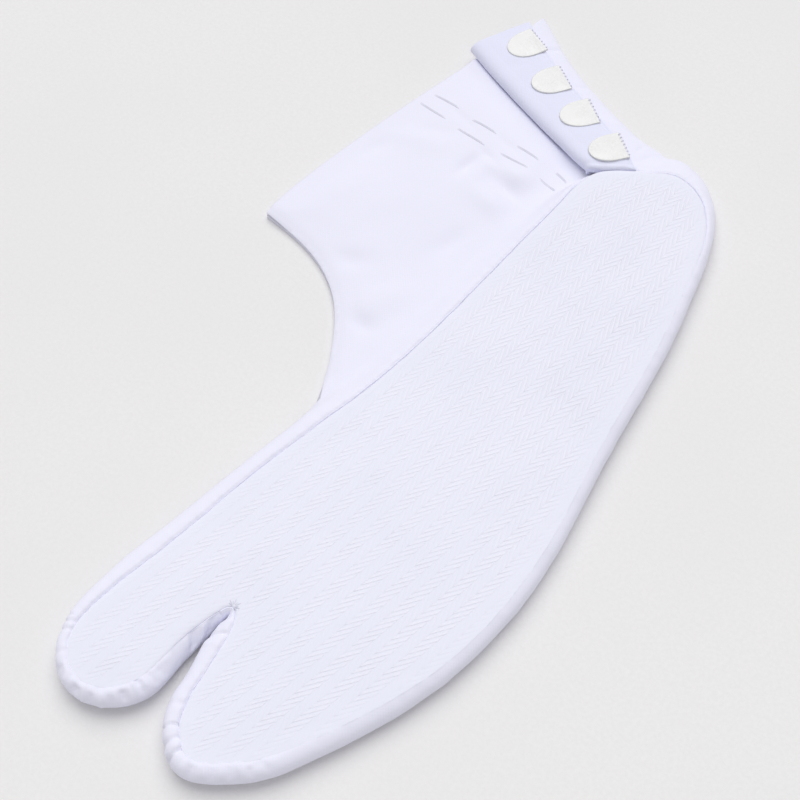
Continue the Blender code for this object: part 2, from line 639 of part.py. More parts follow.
def sole():
    """Sole: twill with its lining, a domed top over a level underside."""
    sheet = Sheet()
    points, outward = sole_outline()
    outline = [tuple(p) for p in points - outward * SEAM_GAP / 2]
    bottom = SEAM_TOP - SOLE_WALL
    columns = []
    for point, out in zip(points, outward):
        column = []
        for ring in SOLE_RINGS:
            x, y = point - out * (SEAM_GAP / 2 + ring)
            column.append(sheet.add((x, y, sole_height(ring)), (x, y, bottom)))
        columns.append(column)
    columns.append(columns[0])
    sheet.grid(columns)
    ring = [column[-1] for column in columns[:-1]]
    before = len(sheet.outer)
    sheet.fill(ring, SOLE_GRID, lambda p: SEAM_TOP)
    for k in range(before, len(sheet.outer)):
        x, y, _ = sheet.outer[k]
        sheet.outer[k] = (x, y, sole_height(edge_distance((x, y), outline)))
        sheet.inner[k] = (x, y, bottom)
    return sheet


def clasp_outline():
    """Outline of a clasp: a straight sewn edge, straight shoulders and a rounded tip."""
    half = CLASP_EDGE / 2
    points = [(-half, 0.0), (half, 0.0)]
    for k in range(CLASP_ARC_STEPS + 1):
        turn = math.pi * k / CLASP_ARC_STEPS
        x = half * math.cos(turn)
        y = CLASP_SHOULDER + (CLASP_LENGTH - CLASP_SHOULDER) * math.sin(turn) ** CLASP_BLUNTNESS
        points.append((x, y))
    return points


def clasp_mesh(name):
    """Thin plate of the clasp's outline."""
    bm = bmesh.new()
    points = [bm.verts.new((x * MM, y * MM, 0.0)) for x, y in clasp_outline()]
    face = bm.faces.new(points)
    raised = bmesh.ops.extrude_face_region(bm, geom=[face])
    tops = [v for v in raised["geom"] if isinstance(v, bmesh.types.BMVert)]
    bmesh.ops.translate(bm, verts=tops, vec=(0.0, 0.0, CLASP_WALL * MM))
    return close_mesh(bm, name)


def clasp_placements():
    """Place and heading of each clasp on the facing, inside the flap's free edge."""
    track = Track(RIM_COLUMNS, FOUR_TOE_RIM, WRAP_AIMS)
    fold = Track(EDGE_COLUMNS, FOLD_EDGE)
    stations, start = four_toe_stations(track)
    span = stations[-1] - stations[start]
    placements = []
    for place in CLASP_PLACES:
        s = track.nearest(place)
        across = fold.place((s - stations[start]) / span * fold.length) - track.place(s)
        inward = across / np.hypot(*across) - track.outward(s)
        heading = math.atan2(inward[1], inward[0]) + math.radians(CLASP_SWING)
        height = track.value("top", s) + FLAP_RISE + CLOTH / 2 + FACING_WALL + 2 * LAYER_GAP
        ends = [track.value("top", s + side * CLASP_EDGE / 2) for side in (-1, 1)]
        tilt = math.atan2(ends[0] - ends[1], CLASP_EDGE)
        inset = FREE_EDGE_TRIM + CLASP_INSET
        spot = track.place(s) + np.array((math.cos(heading), math.sin(heading))) * inset
        placements.append((spot, heading, height, tilt))
    return placements


def material(name):
    """Principled material of a piece."""
    colour, roughness, metallic = FINISHES[name]
    made = bpy.data.materials.get(name) or bpy.data.materials.new(name)
    made.use_nodes = True
    shader = made.node_tree.nodes["Principled BSDF"]
    shader.inputs["Base Color"].default_value = (*colour, 1.0)
    shader.inputs["Roughness"].default_value = roughness
    shader.inputs["Metallic"].default_value = metallic
    return made


def add_piece(name, mesh, finish, root):
    """Named object of a piece under the sock's empty."""
    mesh.materials.append(material(finish))
    mesh.shade_smooth()
    mesh.set_sharp_from_angle(angle=math.radians(SMOOTH_ANGLE))
    piece = bpy.data.objects.new(name, mesh)
    piece.parent = root
    bpy.context.collection.objects.link(piece)
    return piece


def clear_scene():
    """Remove the objects the file opened with."""
    for item in list(bpy.data.objects):
        bpy.data.objects.remove(item, do_unlink=True)


def centre(root, pieces):
    """Move the sock so that its box stands centred on the origin."""
    bpy.context.view_layer.update()
    corners = [piece.matrix_world @ vertex.co for piece in pieces for vertex in piece.data.vertices]
    for axis in range(2):
        values = [corner[axis] for corner in corners]
        root.location[axis] -= (min(values) + max(values)) / 2


def main():
    """Build every piece of the sock."""
    clear_scene()
    root = bpy.data.objects.new("tabi_root", None)
    bpy.context.collection.objects.link(root)
    pieces = [
        add_piece("sole", sole().mesh("sole"), "sole", root),
        add_piece("big_toe_upper", big_toe_upper().mesh("big_toe_upper"), "upper", root),
        add_piece("four_toe_upper", four_toe_upper().mesh("four_toe_upper"), "upper", root),
        add_piece("flap_facing", flap_facing().mesh("flap_facing"), "facing", root),
    ]
    for number, (spot, heading, height, tilt) in enumerate(clasp_placements(), start=1):
        clasp = add_piece(f"clasp_{number}", clasp_mesh(f"clasp_{number}"), "clasp", root)
        clasp.location = (spot[0] * MM, spot[1] * MM, height * MM)
        clasp.rotation_euler = (0.0, tilt, heading - math.pi / 2)
        pieces.append(clasp)
    centre(root, pieces)
    bpy.context.view_layer.update()


main()
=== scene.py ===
"""White split-toe sock, right foot, laid flat with its sole up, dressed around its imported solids.

The sole, the two uppers with the turned-back flap, the flap's lining, the clasps and the thread
loops are fine shells on the forms of the solids. Lengths in the tables are in millimetres in the
sock's own plan: toes at -Y, heel at +Y, the folded leg towards -X, and z = 0 is the table top.
"""

from __future__ import annotations

import logging
import math
from collections import defaultdict
from dataclasses import dataclass, field
from enum import Enum
from functools import reduce
from typing import Callable, Sequence

import bmesh
import bpy
import numpy as np
from mathutils import Matrix, Vector
from mathutils.geometry import delaunay_2d_cdt


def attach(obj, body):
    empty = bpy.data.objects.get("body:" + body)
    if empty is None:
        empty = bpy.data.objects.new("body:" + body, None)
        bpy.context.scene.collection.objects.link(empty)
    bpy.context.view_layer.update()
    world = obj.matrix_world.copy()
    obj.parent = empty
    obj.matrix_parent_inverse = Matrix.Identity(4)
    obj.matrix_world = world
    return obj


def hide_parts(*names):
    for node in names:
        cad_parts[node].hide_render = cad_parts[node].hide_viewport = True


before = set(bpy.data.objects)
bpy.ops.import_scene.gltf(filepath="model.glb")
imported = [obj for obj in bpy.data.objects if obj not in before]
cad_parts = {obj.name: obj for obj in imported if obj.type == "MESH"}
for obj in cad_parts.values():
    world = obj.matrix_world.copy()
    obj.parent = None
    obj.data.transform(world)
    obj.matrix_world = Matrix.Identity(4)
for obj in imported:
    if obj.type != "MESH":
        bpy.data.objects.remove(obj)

Array = np.ndarray
Piece = bpy.types.Object
Socket = bpy.types.NodeSocket

LOG = logging.getLogger("tabi")
BODY = "root"
MM = 0.001
TINY = 1e-9
NO_SEAM = 99.0
PLY_SPREAD = 0.8
TABLE_LEVEL = -0.0001

# Where the sock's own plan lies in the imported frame
ORIGIN = np.array((27.20735222, -10.50352305))

# Walls, gaps and heights of the solids
CLOTH = 1.2
SOLE_WALL = 2.8
FACING_WALL = 1.0
SEAM_TOUCH = 0.03
SEAM_LAP = -0.05
RIM_DROP = 0.50
LAYER_GAP = 0.3
SEAM_TOP = 7.8
LOW = CLOTH / 2
LEG = LOW + CLOTH + LAYER_GAP
LEG_PUFF = 1.3
LEG_DIP = 0.30
LEG_SWELL = 0.9
LEG_CLEAR = (8.5, 18.0)
LEG_EDGE_SPAN = 10.0
LEG_FOLD_SPAN = 9.0
SWELL_FROM_FOLD = 2.2
SWELL_SPAN = 2.8
SWELL_START = 2.4
HEM_LIFT = 0.35
HEM_SPAN = 7.0
RIM_BESIDE_LEG_ENDS = (-32.0, -17.0)
WRAP = LEG + CLOTH + LAYER_GAP
FLAP_RISE = 2.2
FLAP_SETTLE = 0.7
FLAP_SETTLE_SHARE = 0.03
FOLD_ROLL = 3.4
FOLD_SAG = 0.1
FOLD_PUFF = 0.2
FREE_EDGE_TRIM = 0.6
FLAP_DRIFT = 1.9
FLAP_DRIFT_SHARE = 0.15


def rolled_under(rows: Sequence[Sequence[float]]) -> tuple[tuple[float, ...], ...]:
    """Rows of cuts that roll right under the foot, with their level and turn filled in."""
    return tuple((*row[:6], LOW, -180.0, *row[6:]) for row in rows)


# Cloth beside the sole seam. Each row is a cut across the rim: it leaves the seam at `slope`
# degrees and ends `reach` out from the seam, `level` up, heading `turn` degrees. `seam` is the
# share of the full seam groove that shows there. Rows that roll under leave out level and turn.
RIM_COLUMNS = ("x", "y", "top", "slope", "lead", "reach", "level", "turn", "trail", "seam")
BIG_TOE_RIM = (
    (-19.8, 110, 5.2, -78, 1.6, 2.4, LEG, 0, 1.4, 0.8),
    (-24.6, 106, 5.2, -78, 1.6, 2.4, LEG, 0, 1.4, 0.8),
    (-28.8, 101.8, 5.2, -78, 1.6, 2.4, LEG, 0, 1.4, 0.8),
    (-31, 96, 6.2, -65, 2.4, 3.2, LEG, 0, 2, 0.9),
    (-31, 86, 7.2, -32, 3.2, 7.5, LEG + 0.4, 0, 3.6, 1),
    (-30.4, 68, 7.2, -16, 3.6, 9, LEG + 1.9, -6, 4.2, 1),
    (-29.6, 38, 7.2, -16, 3.6, 9, LEG + 1.9, -6, 4.2, 1),
    (-29.6, 8, 7.2, -16, 3.6, 9, LEG + 1.9, -6, 4.2, 1),
    (-30.8, -8, 7.2, -18, 3.8, 9, LEG + 0.9, 0, 4, 1),
    (-32, -17, 7.2, -10, 4.2, 8.4, LEG + 0.2, -25, 2.6, 1),
    (-32.9, -23, 7.2, -4, 4.8, 6.8, 1.9, -80, 2, 1),
    (-33.6, -29, 7.2, 0, 5.6, 4.2, 0.9, -155, 3.4, 1),
    *rolled_under((
        (-34.4, -35, 7.2, 0, 6.4, -0.5, 8, 1), (-36, -50, 7.2, 0, 6.8, -2, 9.6, 1),
        (-37.4, -70, 7.2, 0, 6.8, -2, 9.6, 1), (-39.3, -90, 7.2, 0, 7.2, -2, 9.8, 1),
        (-40.4, -104, 7.2, 8, 5.7, -2, 7.7, 0.95), (-38.6, -114.6, 7.2, 14, 3.8, -2, 5.2, 0.6),
        (-33.4, -120.6, 7.2, 14, 4, -2, 5.6, 0.25), (-26.6, -122, 7.2, 14, 4.2, -2, 6, 0.15),
        (-20.2, -118.9, 7.2, 12, 4.6, -2, 6.4, 0.15), (-16.2, -112.5, 7.2, -4, 5.1, -2, 7.1, 0.25),
        (-15.6, -102, 7.1, -36, 4.6, -2, 6.4, 0.4), (-15.4, -92, 7, -56, 4.4, -1.6, 5.6, 0.5),
        (-13.8, -84.4, 7.2, -60, 2.6, -1.2, 2.4, 0.5),
    )),
)
FOUR_TOE_RIM = rolled_under((
    (-13.8, -84.4, 7.2, -60, 2.6, -1.2, 2.4, 0.5), (-13.1, -82.2, 7.2, -68, 2.8, -1, 2.2, 0.5),
    (-11.8, -81.2, 7.2, -70, 3, -1, 2.2, 0.5), (-10.1, -82, 7.2, -40, 3.2, -1, 2.6, 0.6),
    (-8.3, -84.6, 7.2, -4, 5.4, -1.2, 5, 0.6), (-6.2, -91.5, 7.2, 0, 6.6, -1.8, 8.2, 0.8),
    (-4.4, -99.5, 7.2, 0, 5.8, -2, 8, 1), (-2.2, -108.5, 7.2, 6, 5.4, -2, 7.8, 1),
    (2, -115.2, 7.2, 12, 5, -2, 7.2, 0.75), (8.4, -118.5, 7.2, 14, 4.8, -2, 7, 0.2),
    (15.2, -115, 7.2, 12, 4.6, -2, 6.8, 0.12), (22.6, -107, 7.2, 4, 4.6, -2, 6.8, 0.1),
    (29.4, -94, 7.2, -12, 4.1, -2, 6.3, 0.1), (36.2, -76.5, 7.2, -24, 3.6, -2, 6.1, 0.1),
    (41.4, -56, 7.2, -28, 3, -2.5, 5.8, 0.1), (42.5, -36, 7.2, -28, 3, -2.5, 5.8, 0.1),
    (39.6, -10, 7.2, -28, 3, -2.5, 5.8, 0.1), (33.6, 15, 7.2, -28, 3, -2.5, 5.8, 0.1),
    (28.1, 41.5, 7.2, -28, 3, -2.5, 5.8, 0.1), (22.6, 66, 7.2, -28, 3, -2.5, 5.8, 0.15),
    (16.4, 87, 7.2, -28, 2.6, -2.4, 5.2, 0.3), (12.2, 99.2, 7.2, -28, 2.6, -2, 5.2, 0.5),
    (6.6, 108.4, 7.2, -24, 3, -1.4, 6.2, 0.7), (-0.6, 114.1, 7.2, -22, 4, 1.2, 6.6, 0.8),
    (-7.8, 115.8, 7.1, -22, 5.6, 6.2, 6.4, 0.8), (-15, 113, 6.9, -20, 6.5, 10.2, 6, 0.8),
    (-19.8, 110, 6.2, -16, 6.5, 12.8, 5.6, 0.8), (-22.6, 111.2, 4.4, -3, 6, 11.4, 5.2, 0.5),
    (-28.4, 114.2, 4.2, 0, 5.4, 8.4, 4.8, 0.5), (-34, 116.3, 4.1, 0, 5, 6.8, 4.6, 0.5),
    (-46, 120.4, 3.8, 0, 4.4, 5.8, 4.4, 0.5), (-60, 125.2, WRAP, 0, 4.2, 5.4, 4.4, 0.5),
    (-73.4, 130.8, WRAP, 0, 4.2, 5.6, 4.4, 0.5), (-85.6, 137.6, WRAP, 0, 4.6, 7.2, 4.8, 0.5),
))
HEEL_SEAM = (-19.8, 110.0)
HEEL_TRIM = 1.0
WRAP_AIMS = ((-7.8, 97.0), (-15.0, 93.0), (-19.8, 88.0), (-22.6, 84.0), (-28.4, 76.0),
             (-34.0, 71.0), (-46.0, 71.0), (-60.0, 70.0), (-73.4, 74.0), (-85.6, 96.0))
NOTCH_Y = -17.0
UNDER_Y = -34.5
FLAP_START_X = -22.5
GAP_APEX = (-11.8, -81.2)

EDGE_COLUMNS = ("x", "y")
FRONT_EDGE = ((-99.4, 23.6), (-88.0, 23.0), (-74.0, 20.0), (-61.2, 12.6), (-51.5, 1.6),
              (-44.6, -9.4))
INSTEP_SEAM = ((-39.2, -21.0), (-36.2, -26.0), (-31.6, -32.0), (-25.6, -42.0), (-20.6, -54.0),
               (-16.8, -68.0), (-14.2, -80.0))
INSTEP_TRIM = 1.0
INSTEP_GAP = 0.36
LEG_HEM = ((-99.4, 23.6), (-99.8, 38.0), (-98.6, 54.0), (-96.6, 73.0), (-94.2, 93.0),
           (-91.4, 113.0), (-88.6, 127.0))
BACK_EDGE = ((-87.0, 134.5), (-72.0, 128.0), (-52.0, 121.0), (-32.0, 115.6))
FOLD_EDGE = ((-33.7, 102.2), (-39.7, 103.2), (-55.3, 106.9), (-76.0, 112.5), (-93.3, 117.9))


class Weave(Enum):
    """How a cloth is woven."""

    HERRINGBONE = "herringbone"
    PLAIN = "plain"


# --------------------------------------------------------------------------- small mathematics


def smoothstep(low: float, high: float, value: Array) -> Array:
    """Ease from 0 at `low` to 1 at `high`.

    Args:
        low: Where the ramp starts.
        high: Where the ramp ends.
        value: Values to ease.

    Returns:
        The eased values, from 0 to 1.
    """
    share = np.clip((np.asarray(value, float) - low) / (high - low), 0.0, 1.0)
    return share * share * (3.0 - 2.0 * share)


def bell(value: Array | float) -> Array:
    """Bell curve of height 1 round 0."""
    return np.exp(-np.square(value))


def unit(ways: Array) -> Array:
    """Directions brought to length 1 along the last axis."""
    return ways / np.maximum(np.linalg.norm(ways, axis=-1, keepdims=True), TINY)


def heading(angle: float) -> Array:
    """Plan direction at an angle in radians."""
    return np.array((math.cos(angle), math.sin(angle)))


def beside(line: Array) -> tuple[Array, Array]:
    """Directions to the side of a line and up from it, at each of its points."""
    ways = unit(np.gradient(line, axis=0))
    side = unit(np.cross(ways, (0.0, 0.0, 1.0)))
    return side, np.cross(side, ways)


def bands(rings: Array) -> list[tuple[int, ...]]:
    """Faces between neighbouring closed rings of point numbers, one ring a row."""
    after = np.roll(rings, -1, axis=1)
    corners = (rings[:-1], after[:-1], after[1:], rings[1:])
    return list(map(tuple, np.stack(corners, axis=-1).reshape(-1, 4).tolist()))


def blurred(values: Array, sigma: float) -> Array:
    """Smooth evenly spaced values with a bell of `sigma` samples.

    Args:
        values: Values to smooth.
        sigma: Width of the bell, in samples.

    Returns:
        The smoothed values, as many as came in.
    """
    reach = max(1, int(3 * sigma))
    weights = bell(np.arange(-reach, reach + 1) / (math.sqrt(2.0) * sigma))
    padded = np.pad(values, reach, mode="edge")
    return np.convolve(padded, weights / weights.sum(), mode="valid")


def drift_noise(where: Array, length: float, seed: int) -> Array:
    """Smooth random values along a line.

    Args:
        where: Distances along the line.
        length: Distance between two independent values.
        seed: Number that picks the values.

    Returns:
        Values from -1 to 1.
    """
    knots = np.random.default_rng(seed).uniform(-1.0, 1.0, 512)
    at = np.asarray(where, float) / length
    low = np.floor(at).astype(int)
    share = smoothstep(0.0, 1.0, at - low)
    return knots[low % 512] * (1.0 - share) + knots[(low + 1) % 512] * share


def field_noise(plan: Array, length: float, seed: int) -> Array:
    """Smooth random values over the plan.

    Args:
        plan: Points, one (x, y) a row.
        length: Distance between two independent values.
        seed: Number that picks the values.

    Returns:
        Values from -1 to 1, one a point.
    """
    knots = np.random.default_rng(seed).uniform(-1.0, 1.0, (64, 64))
    at = plan / length
    low = np.floor(at).astype(int)
    u, v = smoothstep(0.0, 1.0, at - low).T
    i, j = low.T
    near = knots[i % 64, j % 64] * (1 - u) + knots[(i + 1) % 64, j % 64] * u
    far = knots[i % 64, (j + 1) % 64] * (1 - u) + knots[(i + 1) % 64, (j + 1) % 64] * u
    return near * (1 - v) + far * v


def bezier(corners: Sequence[Array], t: Array) -> tuple[Array, Array]:
    """Points and unit directions along many cubic curves at once.

    Args:
        corners: Four arrays of (curves, 2) corner points.
        t: Places along each curve, from 0 to 1.

    Returns:
        Points and directions, each (curves, places, 2).
    """
    p0, p1, p2, p3 = (np.asarray(c, float)[:, None, :] for c in corners)
    t = t[None, :, None]
    points = (1 - t) ** 3 * p0 + 3 * (1 - t) ** 2 * t * p1 + 3 * (1 - t) * t**2 * p2 + t**3 * p3
    ways = (1 - t) ** 2 * (p1 - p0) + 2 * (1 - t) * t * (p2 - p1) + t**2 * (p3 - p2)
    return points, unit(ways)


def edge_distance(points: Array, line: Array, closed: bool = True) -> Array:
    """Shortest distance from points to a line.

    Args:
        points: Points, one (x, y) a row.
        line: Corners of the line.
        closed: Whether the line runs back to its start.

    Returns:
        One distance a point.
    """
    starts = line if closed else line[:-1]
    spans = (np.roll(line, -1, axis=0) - line)[: len(starts)]
    best = np.full(len(points), np.inf)
    for start, span in zip(starts, spans):
        offset = points - start
        along = np.clip(offset @ span / max(float(span @ span), 1e-12), 0.0, 1.0)
        best = np.minimum(best, np.hypot(*(offset - along[:, None] * span).T))
    return best


def inside(points: Array, ring: Array) -> Array:
    """Which points lie inside a closed outline.

    Args:
        points: Points, one (x, y) a row.
        ring: Corners of the outline.

    Returns:
        True or False for each point.
    """
    x, y = points.T
    held = np.zeros(len(points), bool)
    for (x0, y0), (x1, y1) in zip(ring, np.roll(ring, -1, axis=0)):
        if y0 == y1:
            continue
        crosses = ((y0 > y) != (y1 > y)) & (x < x0 + (y - y0) * (x1 - x0) / (y1 - y0))
        held ^= crosses
    return held


def lattice(ring: Array, spacing: float) -> Array:
    """Staggered points inside an outline, clear of its edge.

    Args:
        ring: Corners of the outline.
        spacing: Distance between points.

    Returns:
        Points, one (x, y) a row.
    """
    low, high = ring.min(axis=0), ring.max(axis=0)
    rows = np.arange(low[1] + spacing / 2, high[1], spacing * 0.87)
    points = []
    for number, y in enumerate(rows):
        xs = np.arange(low[0] + (spacing / 2 if number % 2 else 0.0), high[0], spacing)
        points.append(np.column_stack((xs, np.full(len(xs), y))))
    found = np.vstack(points)
    found = found[inside(found, ring)]
    return found[edge_distance(found, ring) > spacing * 0.6]


class Track:
    """Smooth plan curve through a table's rows, with its other columns read along it."""

    FINE = 0.2
    BLUR = 1.8
    AIM_BLUR = 0.8

    def __init__(self, columns: Sequence[str], rows: Sequence[Sequence[float]],
                 aims: Sequence[tuple[float, float]] = ()) -> None:
        """Fit the curve.

        Args:
            columns: Names of the table's columns; the first two are x and y.
            rows: The table.
            aims: (row's x, angle in degrees) pairs that turn the cuts from square.
        """
        table = np.array(rows, float)
        self.points = table[:, :2]
        spans = np.hypot(*np.diff(self.points, axis=0).T)
        self.knots = np.concatenate(([0.0], np.cumsum(spans)))
        self.length = float(self.knots[-1])
        self.bends = self._bends(spans)
        self.fine = np.linspace(0.0, self.length, int(self.length / self.FINE) + 1)
        step = self.fine[1]
        self.values = {}
        for number, name in enumerate(columns[2:], start=2):
            read = np.interp(self.fine, self.knots, table[:, number])
            self.values[name] = blurred(read, self.BLUR / step)
        self.angles = self._angles(aims, step)

    def _bends(self, spans: Array) -> Array:
        """Second derivatives of the natural cubic spline through the rows."""
        count = len(self.knots)
        matrix = np.eye(count)
        right = np.zeros((count, 2))
        slopes = np.diff(self.points, axis=0) / spans[:, None]
        for k in range(1, count - 1):
            matrix[k, k - 1:k + 2] = spans[k - 1], 2.0 * (spans[k - 1] + spans[k]), spans[k]
            right[k] = 6.0 * (slopes[k] - slopes[k - 1])
        return np.linalg.solve(matrix, right)

    def _angles(self, aims: Sequence[tuple[float, float]], step: float) -> Array:
        """Angles of the outward direction along the fine places."""
        run = np.gradient(self.place(self.fine), axis=0)
        angles = np.unwrap(np.arctan2(-run[:, 0], run[:, 1]))
        if aims:
            rows = [int(np.flatnonzero(self.points[:, 0] == x)[-1]) for x, _ in aims]
            stops = self.knots[rows]
            wanted = np.interp(self.fine, stops, np.radians([angle for _, angle in aims]))
            ranged = (self.fine >= stops[0]) & (self.fine <= stops[-1])
            turns = np.round((angles - wanted) / (2 * math.pi)) * 2 * math.pi
            angles = np.where(ranged, wanted + turns, angles)
        return blurred(angles, self.AIM_BLUR / step)

    def place(self, s: Array) -> Array:
        """Plan points at distances s."""
        s = np.atleast_1d(np.asarray(s, float))
        k = np.clip(np.searchsorted(self.knots, s) - 1, 0, len(self.knots) - 2)
        span = (self.knots[k + 1] - self.knots[k])[:, None]
        right = (s - self.knots[k])[:, None] / span
        left = 1.0 - right
        ends = left * self.points[k] + right * self.points[k + 1]
        bend = (left**3 - left) * self.bends[k] + (right**3 - right) * self.bends[k + 1]
        return ends + bend * span**2 / 6.0

    def outward(self, s: Array) -> Array:
        """Unit directions away from the foot at distances s."""
        angle = np.interp(np.atleast_1d(s), self.fine, self.angles)
        return np.column_stack((np.cos(angle), np.sin(angle)))

    def stand(self, s: Array, r: Array, z: Array) -> Array:
        """Points of upright cuts at distances s: r out from the curve and z up."""
        plan = self.place(s)[:, None, :] + self.outward(s)[:, None, :] * r[..., None]
        return np.concatenate((plan, z[..., None]), 2)

    def value(self, name: str, s: Array) -> Array:
        """Another column of the table at distances s."""
        return np.interp(np.atleast_1d(s), self.fine, self.values[name])

    def nearest(self, point: Sequence[float]) -> float:
        """Distance along the curve of its closest place to a point."""
        gaps = np.hypot(*(self.place(self.fine) - np.array(point)).T)
        return float(self.fine[int(np.argmin(gaps))])

    def even(self, step: float, start: float = 0.0, end: float | None = None) -> Array:
        """Evenly spaced distances.

        Args:
            step: Wanted distance between two of them.
            start: First distance.
            end: Last distance; the curve's end if it is left out.

        Returns:
            The distances.
        """
        stop = self.length if end is None else end
        return np.linspace(start, stop, max(2, round((stop - start) / step) + 1))


# --------------------------------------------------------------------------- shells and threads


class Shell:
    """Thin closed cloth: outer and inner points, faces between them and rounded edges."""

    EDGE_STEPS = 3

    def __init__(self, name: str, edge_round: float = 0.2) -> None:
        """Start an empty shell.

        Args:
            name: Name of the piece.
            edge_round: How far open edges bulge, as a share of half the wall.
        """
        self.name = name
        self.edge_round = edge_round
        self.outer = np.zeros((0, 3))
        self.inner = np.zeros((0, 3))
        self.faces: list[tuple[int, ...]] = []
        self.marks: list[Array] = []

    def add(self, outer: Array, inner: Array, mark: float | Array = NO_SEAM) -> Array:
        """Add points of the wall.

        Args:
            outer: Outer places, any shape ending in 3.
            inner: Inner places, the same shape.
            mark: Distance from the seam, kept for the finish.

        Returns:
            The points' numbers, shaped as the points came.
        """
        shape = outer.shape[:-1]
        first = len(self.outer)
        self.outer = np.vstack((self.outer, outer.reshape(-1, 3)))
        self.inner = np.vstack((self.inner, inner.reshape(-1, 3)))
        self.marks.append(np.broadcast_to(mark, shape).reshape(-1).astype(float))
        return np.arange(first, len(self.outer)).reshape(shape)

    def grid(self, numbers: Array) -> None:
        """Faces between neighbouring rows and columns of points."""
        corners = (numbers[:-1, :-1], numbers[:-1, 1:], numbers[1:, 1:], numbers[1:, :-1])
        self.faces += map(tuple, np.stack(corners, axis=-1).reshape(-1, 4).tolist())

    def fill(self, loop: Array, spacing: float,
             wall: Callable[[Array], tuple[Array, Array, Array]] | None) -> None:
        """Faces inside a loop of points.

        Args:
            loop: Numbers of the loop's points.
            spacing: Distance between the new points inside it.
            wall: Gives the outer and inner heights and the marks of new points.
        """
        ring = self.outer[loop][:, :2]
        numbers = np.asarray(loop)
        points = ring
        if wall is not None:
            plan = lattice(ring, spacing)
            high, low, mark = wall(plan)
            new = self.add(np.column_stack((plan, high)), np.column_stack((plan, low)), mark)
            numbers = np.concatenate((numbers, new))
            points = np.vstack((ring, plan))
        corners = [Vector(p) for p in points.tolist()]
        border = [list(range(len(ring)))]
        _, _, faces, origins, _, _ = delaunay_2d_cdt(corners, [], border, 1, 1e-7)
        for face in faces:
            if all(origins[k] for k in face):
                self.faces.append(tuple(int(numbers[origins[k][0]]) for k in face))

    def _border(self) -> list[tuple[int, int]]:
        """Edges that belong to one face only, in that face's direction."""
        used: dict[tuple[int, int], tuple[int, int] | None] = {}
        for face in self.faces:
            for a, b in zip(face, face[1:] + face[:1]):
                key = (a, b) if a < b else (b, a)
                used[key] = None if key in used else (a, b)
        return [pair for pair in used.values() if pair]

    def _edge_rings(self, border: list[tuple[int, int]]) -> dict[int, Array]:
        """Points that round each open edge from its outer to its inner face."""
        across: dict[int, Array] = defaultdict(lambda: np.zeros(3))
        wall = self.outer - self.inner
        for a, b in border:
            side = unit(np.cross(self.outer[b] - self.outer[a], wall[a] + wall[b]))
            across[a] += side
            across[b] += side
        turns = np.linspace(0.0, math.pi, self.EDGE_STEPS + 2)[1:-1, None]
        rings = {}
        for k, side in across.items():
            half = wall[k] / 2
            bulge = unit(side) * np.linalg.norm(half) * self.edge_round
            rings[k] = self.inner[k] + half + half * np.cos(turns) + bulge * np.sin(turns)
        return rings

    def build(self) -> Piece:
        """Make the closed mesh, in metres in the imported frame."""
        count = len(self.outer)
        border = self._border()
        rings = self._edge_rings(border)
        chains = {}
        total = 2 * count
        for k in rings:
            chains[k] = [k, *range(total, total + self.EDGE_STEPS), k + count]
            total += self.EDGE_STEPS
        faces = self.faces + [tuple(k + count for k in reversed(face)) for face in self.faces]
        for a, b in border:
            for step in range(self.EDGE_STEPS + 1):
                faces.append((chains[b][step], chains[a][step],
                              chains[a][step + 1], chains[b][step + 1]))
        made = mesh_object(self.name, np.vstack((self.outer, self.inner, *rings.values())), faces)
        marks = np.concatenate(self.marks)
        tail = np.repeat([marks[k] for k in rings], self.EDGE_STEPS)
        layer = made.data.attributes.new("seam_distance", "FLOAT", "POINT")
        layer.data.foreach_set("value", np.concatenate((marks, marks, tail)).astype(np.float32))
        return made


def put(name: str, data: bpy.types.ID) -> Piece:
    """Add an object to the scene."""
    made = bpy.data.objects.new(name, data)
    bpy.context.collection.objects.link(made)
    return made


def mesh_object(name: str, points: Array, faces: Sequence[Sequence[int]]) -> Piece:
    """Smooth-shaded object from points in the sock's plan.

    Args:
        name: Name of the object.
        points: Points in millimetres.
        faces: Corner numbers of each face.

    Returns:
        The object, linked to the scene.
    """
    places = np.array(points, float)
    places[:, :2] += ORIGIN
    mesh = bpy.data.meshes.new(name)
    mesh.from_pydata((places * MM).tolist(), [], [tuple(f) for f in faces])
    bm = bmesh.new()
    bm.from_mesh(mesh)
    bmesh.ops.recalc_face_normals(bm, faces=bm.faces)
    bm.to_mesh(mesh)
    bm.free()
    mesh.shade_smooth()
    return put(name, mesh)


def tube(line: Array, radius: Array, sides: int, first: int) -> tuple[Array, list[tuple[int, ...]]]:
    """Round thread along a line, closed at both ends.

    Args:
        line: Points along the middle.
        radius: Radius at each point.
        sides: Corners of its cross-section.
        first: Number of the thread's first point.

    Returns:
        Its points and its faces.
    """
    side, up = beside(line)
    turn = np.linspace(0.0, 2 * math.pi, sides, endpoint=False)[None, :, None]
    ring = side[:, None] * np.cos(turn) + up[:, None] * np.sin(turn)
    points = (line[:, None] + ring * radius[:, None, None]).reshape(-1, 3)
    rings = first + np.arange(len(points)).reshape(-1, sides)
    caps = [tuple(rings[0, ::-1].tolist()), tuple(rings[-1].tolist())]
    return points, bands(rings) + caps


